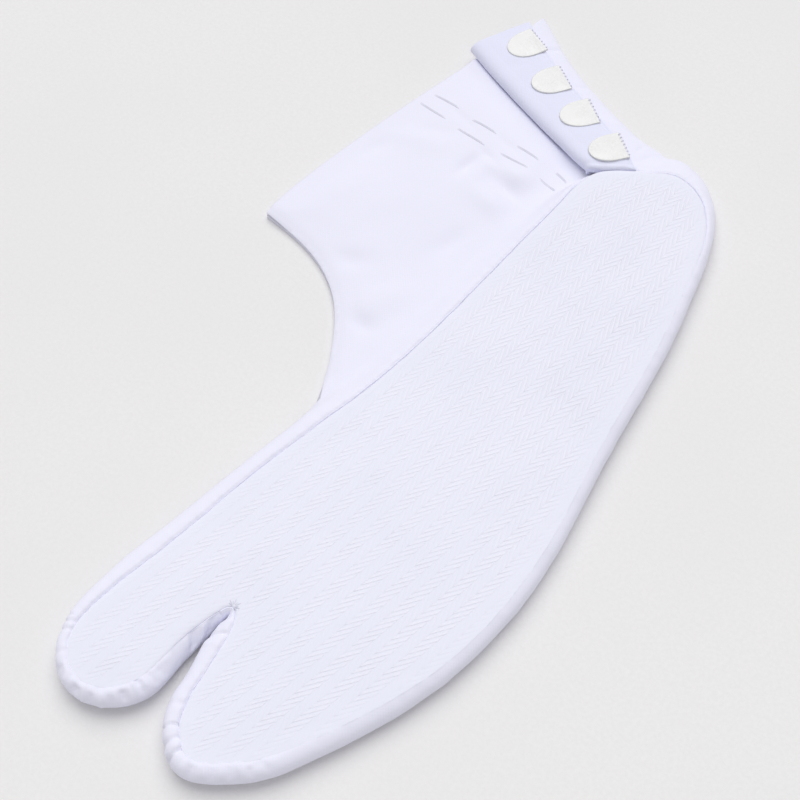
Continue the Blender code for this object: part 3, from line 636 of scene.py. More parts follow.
@dataclass(frozen=True)
class Thread:
    """Two-ply cotton thread."""

    ply: float
    twist: float
    sides: int = 6
    step: float = 0.12

    def lay(self, name: str, lines: Sequence[Array]) -> Piece:
        """Make one piece of threads that follow lines.

        Args:
            name: Name of the piece.
            lines: Points along the middle of each thread.

        Returns:
            The threads' object.
        """
        points: list[Array] = []
        faces: list[tuple[int, ...]] = []
        count = 0
        for line in lines:
            for strand in self._plies(line):
                radius = np.full(len(strand), self.ply)
                radius[0] = radius[-1] = self.ply * 0.5
                new, rims = tube(strand, radius, self.sides, count)
                points.append(new)
                faces += rims
                count += len(new)
        return mesh_object(name, np.vstack(points), faces)

    def _plies(self, line: Array) -> list[Array]:
        """The thread's two plies, twisted round its middle."""
        spans = np.linalg.norm(np.diff(line, axis=0), axis=1)
        run = np.concatenate(([0.0], np.cumsum(spans)))
        places = np.linspace(0.0, run[-1], max(8, int(run[-1] / self.step)))
        middle = np.column_stack([np.interp(places, run, part) for part in line.T])
        side, up = beside(middle)
        angle = 2 * math.pi * places[:, None] / self.twist
        swing = (side * np.cos(angle) + up * np.sin(angle)) * self.ply * PLY_SPREAD
        return [middle + swing, middle - swing]


# --------------------------------------------------------------------------- finishes


class Bench:
    """Adds and links the nodes of one material."""

    def __init__(self, name: str) -> None:
        """Start a material with its shader and the point's own place, x and y in millimetres."""
        self.material = bpy.data.materials.new(name)
        self.material.use_nodes = True
        self.tree = self.material.node_tree
        self.shader = self.tree.nodes["Principled BSDF"]
        self.where = self.node("ShaderNodeTexCoord").outputs["Object"]
        parts = self.node("ShaderNodeSeparateXYZ")
        self.feed(parts.inputs[0], self.where)
        self.x = self.math("MULTIPLY", parts.outputs["X"], 1.0 / MM)
        self.y = self.math("MULTIPLY", parts.outputs["Y"], 1.0 / MM)

    def node(self, kind: str, **settings: object) -> bpy.types.Node:
        """Add a node and set its properties."""
        made = self.tree.nodes.new(kind)
        for name, value in settings.items():
            setattr(made, name, value)
        return made

    def feed(self, target: Socket, value: object) -> None:
        """Set an input to a number or link it to an output."""
        if isinstance(value, Socket):
            self.tree.links.new(value, target)
        else:
            target.default_value = value

    def result(self, kind: str, inputs: dict[str | int, object], output: int = 0,
               **settings: object) -> Socket:
        """Add a node and feed its inputs.

        Args:
            kind: Its Blender type.
            inputs: Numbers or outputs for its inputs, by name or number.
            output: Number of the output that is wanted.
            settings: Its properties.

        Returns:
            That output.
        """
        made = self.node(kind, **settings)
        for key, value in inputs.items():
            self.feed(made.inputs[key], value)
        return made.outputs[output]

    def math(self, operation: str, *values: object) -> Socket:
        """Arithmetic on up to three numbers or outputs."""
        return self.result("ShaderNodeMath", dict(enumerate(values)), operation=operation)

    def product(self, *values: Socket) -> Socket:
        """All the values multiplied, from the first to the last."""
        return reduce(lambda so_far, value: self.math("MULTIPLY", so_far, value), values)

    def ramp(self, value: Socket, low: float, high: float,
             start: float = 0.0, end: float = 1.0) -> Socket:
        """Ease a value from one range to another.

        Args:
            value: The value's output.
            low: Where the ramp starts.
            high: Where the ramp ends.
            start: Result at and below `low`.
            end: Result at and above `high`.

        Returns:
            The result's output.
        """
        inputs = dict(enumerate((value, low, high, start, end)))
        return self.result("ShaderNodeMapRange", inputs, interpolation_type="SMOOTHSTEP")

    def noise(self, size: float, detail: float = 2.0, roughness: float = 0.5) -> Socket:
        """Cloudy noise.

        Args:
            size: Size of its blots in millimetres.
            detail: Number of finer layers.
            roughness: Strength of the finer layers.

        Returns:
            Its value from 0 to 1.
        """
        return self.result("ShaderNodeTexNoise", {
            "Vector": self.where, "Scale": 1.0 / (size * MM), "Detail": detail,
            "Roughness": roughness})

    def bump(self, height: Socket, depth: float, under: Socket | None = None) -> Socket:
        """Relief from a height.

        Args:
            height: Height from 0 to 1.
            depth: Relief of a height of 1, in millimetres.
            under: Normal of a coarser relief below it.

        Returns:
            The new normal.
        """
        inputs = {"Strength": 1.0, "Distance": depth * MM, "Height": height}
        if under is not None:
            inputs["Normal"] = under
        return self.result("ShaderNodeBump", inputs)

    def blend(self, share: Socket, first: Sequence[float], second: Sequence[float]) -> Socket:
        """Mix two colours by a share."""
        inputs = {0: share, 6: (*first, 1.0), 7: (*second, 1.0)}
        return self.result("ShaderNodeMix", inputs, output=2, data_type="RGBA")

    def shade(self, inputs: dict[str, object]) -> bpy.types.Material:
        """Feed the shader's named inputs and hand over the material."""
        for name, value in inputs.items():
            self.feed(self.shader.inputs[name], value)
        return self.material


@dataclass(frozen=True)
class ClothFinish:
    """White cotton of one weave."""

    name: str
    weave: Weave
    colour: tuple[float, float, float]
    shade: tuple[float, float, float]
    roughness: float = 0.85
    sheen: float = 0.25
    relief: float = 0.05
    crumple: float = 0.10
    band: float = 2.84
    rib: float = 2.80
    slant: float = 2.0
    yarn: float = 0.72
    lean: float = -0.055
    bow: float = 0.00039
    both_ways: tuple[float, float] = (-75.0, 50.0)
    one_way: float = 0.35
    cloud: float = 26.0
    fold: float = 9.0
    nap: float = 0.9
    nap_depth: float = 0.02
    patch: float = 5.0
    nick: float = 1.7

    def make(self) -> bpy.types.Material:
        """Build the material."""
        bench = Bench(self.name)
        weave = {Weave.HERRINGBONE: self._herringbone, Weave.PLAIN: self._plain}[self.weave]
        height = weave(bench)
        cloud = bench.noise(self.cloud, 3.0, 0.6)
        folds = bench.bump(bench.noise(self.fold, 2.0, 0.45), self.crumple)
        nap = bench.bump(bench.noise(self.nap, 3.0, 0.7), self.nap_depth, folds)
        # The colour leans to `shade` with the cloudy noise, which is the cloth's own uneven tone,
        # and where the weave's height is low, which is painted shade in the hollows between threads
        # and ribs.
        tone = bench.product(bench.ramp(cloud, 0.3, 0.7, 0.75, 1.0),
                             bench.ramp(height, 0.0, 1.0, 0.55, 1.0))
        return bench.shade({
            "Base Color": bench.blend(tone, self.shade, self.colour),
            "Normal": bench.bump(height, self.relief, nap),
            "Roughness": bench.ramp(cloud, 0.2, 0.8, self.roughness - 0.04, self.roughness + 0.05),
            "Sheen Weight": self.sheen,
            "Sheen Roughness": 0.45,
            "Specular IOR Level": 0.25,
        })

    def _herringbone(self, bench: Bench) -> Socket:
        """Height of twill ribs that slant one way and the other in bands along the foot."""
        x, y, add = bench.x, bench.y, "MULTIPLY_ADD"
        wander = bench.math("SUBTRACT", bench.noise(7.0), 0.5)
        skew = bench.math(add, y, self.bow, self.lean)
        across = bench.math(add, y, skew, bench.math("ADD", x, 500.0))
        across = bench.math(add, wander, 0.5, across)
        along = bench.math(add, wander, 0.9, bench.math(add, x, -self.lean, y))
        zigzag = bench.math("PINGPONG", across, self.band)
        side = bench.math("FLOOR", bench.math("DIVIDE", across, self.band))
        parity = bench.math("MULTIPLY", bench.math("MODULO", side, 2.0), 0.5)
        phase = bench.math("DIVIDE", bench.math(add, zigzag, self.slant, along), self.rib)
        turn = bench.math("MULTIPLY", bench.math("ADD", phase, parity), 2 * math.pi)
        rib = bench.ramp(bench.math("SINE", turn), -0.95, 0.3)
        yarn = bench.math("SINE", bench.math("MULTIPLY", across, math.pi / self.yarn))
        yarn = bench.math("ABSOLUTE", yarn)
        # Every other band's ribs are flattened towards the toes, where the light from beyond the
        # heel hardly picks them out: a fade set by the light. `worn` holds the random patches and
        # nicks, this light-set fade and the fade by the seam. As the colour follows this height,
        # flattened ribs also take more of the painted groove shade.
        steep = bench.math("SUBTRACT", 1.0, bench.ramp(y, *self.both_ways, self.one_way, 1.0))
        seam = bench.node("ShaderNodeAttribute", attribute_name="seam_distance").outputs["Fac"]
        worn = bench.product(bench.ramp(bench.noise(self.patch), 0.3, 0.7, 0.6, 1.0),
                             bench.ramp(bench.noise(self.nick), 0.34, 0.6, 0.6, 1.0),
                             bench.math(add, bench.math(add, parity, 2.0, -1.0), steep, 1.0),
                             bench.ramp(seam, 0.4, 7.0, 0.25, 1.0))
        return bench.product(bench.product(rib, bench.ramp(yarn, 0.0, 0.6, 0.72, 1.0)), worn)

    def _plain(self, bench: Bench) -> Socket:
        """Height of plain-woven threads."""
        warp, weft = (bench.math("SINE", bench.math("MULTIPLY", run, math.pi / self.yarn))
                      for run in (bench.x, bench.y))
        return bench.math("MULTIPLY_ADD", bench.math("MULTIPLY", warp, weft), 0.5, 0.5)


@dataclass(frozen=True)
class MetalFinish:
    """Satin silver-white plate with a fine pebbled grain."""

    name: str
    colour: tuple[float, float, float]
    roughness: float = 0.55
    grain: float = 0.035
    worn: float = 0.88
    scratch: float = 0.55
    cloud: float = 3.5

    def make(self) -> bpy.types.Material:
        """Build the material."""
        bench = Bench(self.name)
        scratch = bench.noise(self.scratch, 3.0, 0.65)
        cloud = bench.noise(self.cloud)
        tone = bench.product(bench.ramp(scratch, 0.3, 0.7), bench.ramp(cloud, 0.3, 0.7))
        dull = tuple(part * self.worn for part in self.colour)
        return bench.shade({
            "Base Color": bench.blend(tone, dull, self.colour),
            "Normal": bench.bump(scratch, self.grain),
            "Roughness": bench.ramp(cloud, 0.25, 0.75, self.roughness - 0.07,
                                    self.roughness + 0.08),
            "Metallic": 0.35,
        })


@dataclass(frozen=True)
class TableFinish:
    """Pale matt table top."""

    name: str
    colour: tuple[float, float, float]
    shade: float = 0.95
    fleck: float = 1.1
    fleck_depth: float = 0.03
    cloud: float = 90.0

    def make(self) -> bpy.types.Material:
        """Build the material."""
        bench = Bench(self.name)
        fleck = bench.noise(self.fleck, 3.0, 0.6)
        tone = bench.product(bench.ramp(bench.noise(self.cloud), 0.35, 0.65, 0.6, 1.0),
                             bench.ramp(fleck, 0.3, 0.7, 0.3, 1.0))
        dull = tuple(part * self.shade for part in self.colour)
        return bench.shade({
            "Base Color": bench.blend(tone, dull, self.colour),
            "Normal": bench.bump(fleck, self.fleck_depth),
            "Roughness": 0.9,
            "Specular IOR Level": 0.2,
        })


# Each cloth's second colour serves both its darker random mottling and the painted shade in its
# weave's hollows.
TWILL = ClothFinish("sole_twill", Weave.HERRINGBONE, (0.88, 0.885, 0.99), (0.78, 0.785, 0.905),
                    relief=0.125, crumple=0.06, yarn=0.62)
BROADCLOTH = ClothFinish("upper_cotton", Weave.PLAIN, (0.855, 0.855, 0.985), (0.815, 0.815, 0.95),
                         relief=0.012, crumple=0.12, yarn=0.5)
LINING = ClothFinish("lining_cotton", Weave.PLAIN, (0.80, 0.81, 0.97), (0.77, 0.78, 0.935),
                     relief=0.015, crumple=0.08, yarn=0.55)
# The thread's grey is painted shadow: white cotton thread with the soft shadow round it. The loops,
# the gap stitches and the clasp stitches all use it.
THREAD_PAINTED_SHADOW = ClothFinish("thread_painted_shadow", Weave.PLAIN, (0.725, 0.725, 0.835), (0.69, 0.69, 0.80),
                            relief=0.01, crumple=0.02, yarn=0.3)
SATIN_METAL = MetalFinish("clasp_metal", (0.80, 0.80, 0.80))
PALE_TABLE = TableFinish("table_top", (0.84, 0.83, 0.832))


# --------------------------------------------------------------------------- the cloth's forms


@dataclass(frozen=True)
class Crease:
    """Soft oval trough (negative) or swell of laid cloth."""

    x: float
    y: float
    along: float
    across: float
    angle: float
    height: float

    def at(self, plan: Array) -> Array:
        """Height that it adds at plan points."""
        turn = math.radians(self.angle)
        dx, dy = (plan - (self.x, self.y)).T
        u = (dx * math.cos(turn) + dy * math.sin(turn)) / self.along
        v = (dy * math.cos(turn) - dx * math.sin(turn)) / self.across
        return self.height * np.exp(-(u * u + v * v))


@dataclass(frozen=True)
class Gather:
    """Small pleat where the upper is eased on to the sole: a groove across the rim."""

    at: float
    depth: float
    half: float
    lean: float
    start: float
    end: float

    def groove(self, s: Array, q: Array) -> Array:
        """Depth at distances s along the rim and shares q across it."""
        offset = (s - self.at - self.lean * (q - self.start)) / self.half
        offset = np.abs(offset) * np.where(offset > 0.0, 0.75, 1.5)
        fade = smoothstep(self.start - 0.07, self.start + 0.06, q)
        fade = fade * (1.0 - smoothstep(self.end - 0.10, self.end + 0.08, q))
        return self.depth * np.exp(-(offset**1.45)) * fade


LEG_FORMS = tuple(Crease(*row) for row in (
    (-66, 58, 26, 17, 80, 1.2), (-50, 20, 13, 6, 60, 0.99), (-44, 85.6, 11, 3.6, 6, 1.58),
    (-46, 71, 12, 4.2, -4, 1.42), (-44.5, 78.5, 9.9, 2.7, -7, -1.42),
    (-38.5, 77.8, 5, 2.3, -7, -0.81), (-84, 76, 12, 5, 20, 0.81),
    (-63.2, 78.6, 5.5, 2.1, 88, -1.2), (-58.6, 79, 6, 2.6, 88, 0.54),
    (-67, 26.5, 7.2, 3.9, 35, -0.95), (-50, 10.8, 6.6, 3.1, 8, -0.95),
    (-39.7, 18.4, 6.6, 3.6, 80, -0.82), (-47.7, 50.9, 7.7, 3.6, 75, -0.82),
    (-91.6, 65.9, 6.6, 3.1, 70, -0.82), (-81, 82, 6.1, 2.9, 30, -0.45),
    (-77.1, 92.7, 5, 1.6, -12, -0.45), (-59.5, 93.4, 4.4, 1.4, -10, -0.42),
    (-60.5, 85.4, 4.4, 1.3, -15, -0.8), (-43.1, 93.7, 3.5, 1.2, -8, -0.38),
    (-72, 40, 11, 6.5, 60, -0.4), (-88, 45, 9, 5, 75, 0.54),
))
WRAP_FORMS = tuple(Crease(*row) for row in (
    (-73.6, 136.4, 3.5, 0.9, 60, -0.45), (-56.8, 128.8, 3.2, 0.8, 55, -0.3),
    (-26.4, 119.6, 2.4, 1, 90, -0.3), (-22.3, 117.7, 3, 1, 70, -0.3),
    (-40, 122.5, 5, 1.4, 20, 0.22), (-64, 130.5, 6, 1.6, 25, 0.25),
))
BIG_TOE_GATHERS = tuple(Gather(*row) for row in (
    (224.8, 0.3, 0.3, 1.2, 0.06, 0.44), (226.5, 0.55, 0.3, 1, 0.02, 0.48),
    (228.7, 0.55, 0.32, 0.8, 0.02, 0.48), (234.4, 0.3, 0.8, 0, 0.02, 0.42),
    (238.3, 0.8, 1.3, -0.8, 0.12, 0.36), (241, -0.35, 0.45, -0.4, 0, 0.3),
    (244.3, 1.1, 1.3, -0.6, 0.14, 0.34), (246.2, -0.45, 0.4, 0.2, 0.02, 0.42),
    (248, 0.7, 0.9, 0.2, 0.16, 0.36), (249.9, -0.5, 0.28, 0.2, 0.08, 0.55),
    (252.3, 0.55, 0.8, 0.4, 0.16, 0.36), (255, 1.15, 1.1, 0.4, 0.1, 0.34),
    (256.6, -0.4, 0.3, 0.6, 0.06, 0.4), (257.8, -0.45, 0.35, 0.8, 0, 0.16),
    (259, 0.6, 0.6, 0.8, 0.02, 0.3), (260.3, -0.45, 0.35, 1.4, 0, 0.18),
    (262.6, 0.45, 0.8, 1.2, 0.04, 0.3), (265.4, 0.4, 1.4, 1, 0.1, 0.34),
))
BIG_TOE_FOLDS = tuple(Gather(*row) for row in (
    (278.8, 0.7, 1.7, -8.5, 0, 0.4), (281.6, -0.45, 0.9, -6.5, 0.02, 0.4),
    (285.6, 0.5, 1.9, -10, 0.02, 0.42), (271.4, 0.2, 1.8, -5, 0.02, 0.4),
))
FOUR_TOE_GATHERS = tuple(Gather(*row) for row in (
    (34.1, 0.2, 0.8, 0.4, 0.02, 0.35), (39.5, 0.85, 0.24, 1.3, 0, 0.5),
    (42.8, 0.8, 0.6, 1.6, 0, 0.5), (44.3, -0.3, 0.5, 1.5, 0, 0.4),
    (45.9, 0.95, 0.36, 1.5, 0, 0.42), (49.3, -0.35, 0.4, 0.3, 0, 0.25),
    (50.9, 0.7, 0.7, 0.3, 0.1, 0.32), (53.6, -0.45, 0.32, 0, 0, 0.3),
    (55.3, 0.75, 0.7, 0, 0.1, 0.32), (57.4, -0.45, 0.45, 0, 0, 0.28),
    (59.4, 0.6, 0.8, -0.4, 0.1, 0.3), (61.8, -0.3, 0.4, -0.4, 0, 0.22),
    (64.2, 0.5, 0.9, -0.6, 0.1, 0.3), (68.6, 0.3, 0.9, -0.4, 0.05, 0.26),
))
FOUR_TOE_FOLDS = tuple(Gather(*row) for row in (
    (8.5, -0.45, 2.4, 4, 0, 0.36), (12.2, 0.6, 0.7, 6, 0.04, 0.4), (16, -0.25, 2.2, 2, 0, 0.4),
))


def seam_touch(shown: Array) -> Array:
    """Half the crack at the sole seam: cloth laps a little where hardly any groove shows."""
    return SEAM_LAP + (SEAM_TOUCH - SEAM_LAP) * smoothstep(0.55, 0.9, shown)


def rim_edge(track: "Track", s: Array) -> Array:
    """Height of the rim's outer face at the seam, at distances s."""
    stand = CLOTH / 2 - RIM_DROP * np.clip(track.value("seam", s), 0.0, 1.0)
    return track.value("top", s) + stand * np.cos(np.radians(track.value("slope", s)))


def seam_sway(seam: Array) -> Array:
    """How far the sole seam wanders outwards at its plan points."""
    tip = 1.0 - smoothstep(-112.0, -100.0, seam[:, 1])
    return 0.10 * field_noise(seam, 3.1, 51) + 0.24 * tip * field_noise(seam, 2.1, 52)


@dataclass
class Rim:
    """Cloth that rolls from the sole seam round the edge of the foot."""

    track: Track
    gathers: tuple[Gather, ...]
    folds: tuple[Gather, ...]
    seed: int
    steps: int = 30
    crowding: float = 1.5
    puff: float = 0.42
    scallop: float = 0.22
    seam_width: float = 0.42
    stitch: float = 2.6
    stitch_pull: float = 0.16
    ease: float = 0.12
    sway: float = 0.16
    sway_span: float = 17.0
    sway_fade: float = 3.0
    ease_span: float = 6.5
    pucker_span: float = 2.6
    scallop_span: float = 1.5
    close_span: float = 1.4
    free: tuple[float, float] = (3.0, 10.0)
    gathered: float = 8.0

    def cut(self, s: Array) -> tuple[Array, Array]:
        """Middle line and directions of the upright cuts at distances s."""
        slope = np.radians(self.track.value("slope", s))
        turn = np.radians(self.track.value("turn", s))
        lead = self.track.value("lead", s)
        trail = self.track.value("trail", s)
        lean = CLOTH / 2 * np.maximum(0.0, -np.sin(slope))
        touch = seam_touch(self.track.value("seam", s))
        start = np.column_stack((touch + lean, self.track.value("top", s)))
        end = np.column_stack((self.track.value("reach", s), self.track.value("level", s)))
        first = start + np.column_stack((np.cos(slope), np.sin(slope))) * lead[:, None]
        second = end - np.column_stack((np.cos(turn), np.sin(turn))) * trail[:, None]
        t = np.linspace(0.0, 1.0, self.steps + 1) ** self.crowding
        return bezier((start, first, second, end), t)

    def relief(self, s: Array, points: Array) -> Array:
        """How far the outer face stands off the plain form.

        Args:
            s: Distances along the rim.
            points: The cuts' middle lines.

        Returns:
            One height for each point of each cut.
        """
        spans = np.linalg.norm(np.diff(points, axis=1), axis=2)
        run = np.concatenate((np.zeros((len(s), 1)), np.cumsum(spans, axis=1)), axis=1)
        q = run / run[:, -1:]
        along = np.broadcast_to(s[:, None], q.shape)
        clear = np.hypot(*(self.track.place(s) - np.array(GAP_APEX)).T)
        free = smoothstep(*self.free, clear)[:, None]
        middle = np.sin(math.pi * np.clip(q, 0.0, 1.0))
        total = self.sway * middle * drift_noise(along + 9.0 * q, self.sway_span, self.seed)
        eased = middle * drift_noise(along - 4.0 * q, self.ease_span, self.seed + 1)
        pucker = drift_noise(along + 1.2 * q, self.pucker_span, self.seed + 2)
        total += self.ease * (eased + pucker * bell((run - 1.4) / 1.3))
        total *= free
        if self.gathers:
            first, last = self.gathers[0].at, self.gathers[-1].at
            near = (smoothstep(first - self.gathered, first, s)
                    * (1.0 - smoothstep(last, last + self.gathered, s)))[:, None]
            scallop = drift_noise(along + 0.8 * q, self.scallop_span, self.seed + 4)
            total += self.puff * near * middle**0.6 * (1.0 - q)
            total += self.scallop * near * scallop * bell((run - 0.9) / 0.8)
        folded = sum(g.groove(along, q) for g in self.gathers + self.folds) + 0.0 * q
        total -= folded * smoothstep(1.0, 4.0, clear)[:, None]
        pull = 0.5 + 0.5 * np.cos(2 * math.pi * (along + drift_noise(along, 5.0, 9)) / self.stitch)
        shown = np.clip(self.track.value("seam", s), 0.0, 1.0)[:, None]
        drop = RIM_DROP * shown * (0.85 + 0.3 * drift_noise(along, 3.3, self.seed + 3))
        drop = drop * bell(run / self.seam_width)
        dent = self.stitch_pull * shown * pull * bell(run / (2.2 * self.seam_width))
        return total - drop - dent

    def strip(self, shell: Shell, s: Array) -> Array:
        """Add the rim's points and faces to a shell.

        Args:
            shell: The shell.
            s: Distances of the cuts.

        Returns:
            Numbers of the points, one row a cut.
        """
        points, ways = self.cut(s)
        high = CLOTH / 2 + self.relief(s, points)
        low = CLOTH / 2
        sway = seam_sway(self.track.place(s))[:, None] * bell(points[..., 0] / self.sway_fade)
        r, z = points[..., 0] + sway, points[..., 1]
        along, rise = ways[..., 0], ways[..., 1]
        outer_r = r - rise * high
        shown = self.track.value("seam", s)
        over = outer_r[:, :1] - r[:, :1] + points[:, :1, 0] - seam_touch(shown)[:, None]
        closing = 1.0 - smoothstep(0.15, 0.8, shown)[:, None]
        away = np.linalg.norm(points - points[:, :1], axis=2)
        outer_r = outer_r - over * closing * bell(away / self.close_span)
        outer = self.track.stand(s, outer_r, np.maximum(z + along * high, 0.0))
        numbers = shell.add(outer, self.track.stand(s, r + rise * low, z - along * low))
        shell.grid(numbers)
        return numbers


def level_points(shell: Shell, plan: Array, high: float | Array, low: float | Array) -> Array:
    """Add points of laid cloth.

    Args:
        shell: The shell.
        plan: Plan points.
        high: Height of the outer face.
        low: Height of the inner face.

    Returns:
        The points' numbers.
    """
    count = len(plan)
    tops = np.broadcast_to(high, count)
    bottoms = np.broadcast_to(low, count)
    return shell.add(np.column_stack((plan, tops)), np.column_stack((plan, bottoms)))


@dataclass
class Layout:
    """Curves that the sock's pieces share."""

    step: float = 0.45

    def __post_init__(self) -> None:
        """Fit the curves."""
        self.inner = Track(RIM_COLUMNS, BIG_TOE_RIM)
        self.outer = Track(RIM_COLUMNS, FOUR_TOE_RIM, WRAP_AIMS)
        self.instep = Track(EDGE_COLUMNS, FRONT_EDGE + INSTEP_SEAM)
        self.hem = Track(EDGE_COLUMNS, LEG_HEM)
        self.back = Track(EDGE_COLUMNS, BACK_EDGE)
        self.fold = Track(EDGE_COLUMNS, FOLD_EDGE)
        self.front_end = float(self.instep.knots[len(FRONT_EDGE) - 1])
        self.under_start = float(self.instep.knots[len(FRONT_EDGE) + 2]) + INSTEP_TRIM

    def wrap_stations(self) -> tuple[Array, int]:
        """Cuts of the four-toe rim, and how many come before the flap."""
        s = self.outer.even(self.step)
        x, y = self.outer.place(s).T
        start = int(np.flatnonzero((x < FLAP_START_X) & (y > HEEL_SEAM[1]))[0])
        return s, start

    def leg_line(self, step: float = 2.0) -> Array:
        """The leg's open and seamed edges, from the notch round to the back."""
        front = self.instep.place(self.instep.even(step, 0.0, self.front_end))[::-1]
        hem = self.hem.place(self.hem.even(step))
        return np.vstack((front, hem))


def leg_middle(layout: Layout, plan: Array) -> Array:
    """Middle height of the leg's upper layer, with its creases.

    Args:
        layout: The sock's curves.
        plan: Plan points.

    Returns:
        One height a point.
    """
    forms = sum(form.at(plan) for form in LEG_FORMS)
    forms = forms + 0.10 * field_noise(plan, 11.0, 5) + 0.05 * field_noise(plan, 5.0, 6)
    stations = layout.inner.even(2.0, 0.0, layout.inner.nearest(RIM_BESIDE_LEG_ENDS))
    gaps = np.linalg.norm(plan[:, None, :] - layout.inner.place(stations)[None, :, :], axis=2)
    level = layout.inner.value("level", stations)[np.argmin(gaps, axis=1)]
    clear = smoothstep(*LEG_CLEAR, np.min(gaps, axis=1))
    fold = layout.fold.points
    short = np.interp(plan[:, 0], fold[::-1, 0], fold[::-1, 1]) - plan[:, 1]
    rise = 1.0 - bell(edge_distance(plan, layout.leg_line(), closed=False) / LEG_EDGE_SPAN)
    rise = rise * (1.0 - bell(np.maximum(short, 0.0) / LEG_FOLD_SPAN))
    swell = LEG_SWELL * bell((short - SWELL_FROM_FOLD) / SWELL_SPAN)
    swell = swell * smoothstep(0.0, SWELL_START, short)
    hem = layout.hem.place(layout.hem.even(2.0))
    lift = HEM_LIFT * (1.0 + drift_noise(plan[:, 1], 21.0, 8))
    edge = lift * bell(edge_distance(plan, hem, closed=False) / HEM_SPAN)
    total = np.maximum(-LEG_DIP, LEG_PUFF * rise + forms * np.clip(2.0 * rise, 0.25, 1.0))
    total = total + edge + swell
    return level + (LEG + total - level) * clear


# --------------------------------------------------------------------------- the pieces


@dataclass
class Sole:
    """Herringbone sole with its rounded edge."""

    layout: Layout
    dome: float = 0.9
    dome_span: float = 16.0
    edge_drop: float = 0.6
    edge_span: float = 0.9
    edge_least: float = 0.08
    lip_drop: float = 0.22
    lip_span: float = 0.26
    spacing: float = 1.05
    rings: tuple[float, ...] = (0.0, 0.12, 0.28, 0.5, 0.8, 1.2, 1.8, 2.6)
    quilt: float = 0.14

    def height(self, plan: Array, distance: Array, shown: float | Array = 1.0,
               edge_drop: float | Array | None = None) -> Array:
        """Height of the sole's face.

        Args:
            plan: Plan points.
            distance: How far in from the edge they lie.
            shown: Share of the full seam groove at the edge beside them.
            edge_drop: How far the face falls to that edge.

        Returns:
            One height a point.
        """
        fall = self.edge_drop if edge_drop is None else edge_drop
        edge = fall * np.exp(-distance / self.edge_span)
        lip = self.lip_drop * shown * bell(distance / self.lip_span)
        dome = self.dome * (1.0 - bell(distance / self.dome_span))
        soft = self.quilt * field_noise(plan, 19.0, 3) + 0.06 * field_noise(plan, 8.0, 4)
        pull = 0.07 * field_noise(plan, 3.4, 7) * bell((distance - 2.2) / 2.0)
        return SEAM_TOP - edge - lip + dome + soft * smoothstep(0.5, 9.0, distance) + pull

    def make(self) -> Piece:
        """Build the sole.

        Returns:
            The sole's object.
        """
        shell = Shell("sole_twill", 0.08)
        heel = self.layout.outer.nearest(HEEL_SEAM)
        inner_s = self.layout.inner.even(self.layout.step)[:-1]
        outer_s = self.layout.outer.even(self.layout.step, 0.0, heel)[:-1]
        seam = np.vstack((self.layout.inner.place(inner_s), self.layout.outer.place(outer_s)))
        parts = ((self.layout.inner, inner_s), (self.layout.outer, outer_s))
        shown = np.clip(np.concatenate([k.value("seam", s) for k, s in parts]), 0.0, 1.0)
        fall = SEAM_TOP - np.concatenate([rim_edge(k, s) for k, s in parts])
        fall = np.clip(fall, self.edge_least, self.edge_drop)
        run = np.roll(seam, -2, axis=0) - np.roll(seam, 2, axis=0)
        out = np.column_stack((run[:, 1], -run[:, 0]))
        out = unit(out)
        outline = seam - out * (seam_touch(shown) - seam_sway(seam))[:, None]
        bottom = SEAM_TOP - SOLE_WALL
        columns = []
        for ring in self.rings:
            plan = outline - out * ring
            high = self.height(plan, np.full(len(plan), ring), shown, fall)
            top = np.column_stack((plan, high))
            under = np.column_stack((plan, np.full(len(plan), bottom)))
            columns.append(shell.add(top, under, ring))
        numbers = np.column_stack(columns)
        shell.grid(np.vstack((numbers, numbers[:1])))

        def wall(plan: Array) -> tuple[Array, Array, Array]:
            """Heights of the sole's face and underside at new points."""
            distance = edge_distance(plan, outline[::2])
            return self.height(plan, distance), np.full(len(plan), bottom), distance

        shell.fill(columns[-1], self.spacing, wall)
        return shell.build()


@dataclass
class BigToeUpper:
    """Upper of the big-toe side, with the leg's upper layer."""

    layout: Layout
    spacing: float = 1.1
    seam_drop: float = 0.95
    seam_width: float = 2.3

    def make(self) -> Piece:
        """Build the upper.

        Returns:
            The upper's object.
        """
        shell = Shell("big_toe_cotton", 0.25)
        track = self.layout.inner
        s = track.even(self.layout.step, HEEL_TRIM)
        numbers = Rim(track, BIG_TOE_GATHERS, BIG_TOE_FOLDS, seed=21).strip(shell, s)
        y = track.place(s)[:, 1]
        notch = int(np.flatnonzero(y < NOTCH_Y)[0])
        under = int(np.flatnonzero(y < UNDER_Y)[0])
        self._leg(shell, numbers[: notch + 1, -1])
        self._toe_underside(shell, numbers[under:, -1])
        return shell.build()

    def _leg(self, shell: Shell, rim: Array) -> None:
        """Fill the leg's upper layer between the rim and the leg's edges."""
        lay = self.layout
        step = 0.8
        front = lay.instep.place(lay.instep.even(step, 0.0, lay.front_end))
        hem = lay.hem.place(lay.hem.even(step))[1:]
        back = lay.back.place(lay.back.even(step))

        def wall(plan: Array) -> tuple[Array, Array, Array]:
            """Heights of the leg's two faces at plan points."""
            middle = leg_middle(lay, plan)
            away = edge_distance(plan, front[::2], closed=False)
            drop = self.seam_drop * bell(away / self.seam_width)
            return middle + CLOTH / 2 - drop, middle - CLOTH / 2, np.full(len(plan), NO_SEAM)

        edges = []
        for line in (front, hem, back):
            high, low, _ = wall(line)
            edges.append(level_points(shell, line, high, low))
        loop = np.concatenate((rim, edges[0][::-1], edges[1], edges[2]))
        shell.fill(loop, self.spacing, wall)

    def _toe_underside(self, shell: Shell, rim: Array) -> None:
        """Close the underside between the toe's rim and the instep seam."""
        seam = self.layout.instep
        s = seam.even(0.9, self.layout.under_start)
        line = seam.place(s) + seam.outward(s) * INSTEP_GAP
        edge = level_points(shell, line, 0.0, CLOTH)
        shell.fill(np.concatenate((rim, edge[::-1])), 0.0, None)


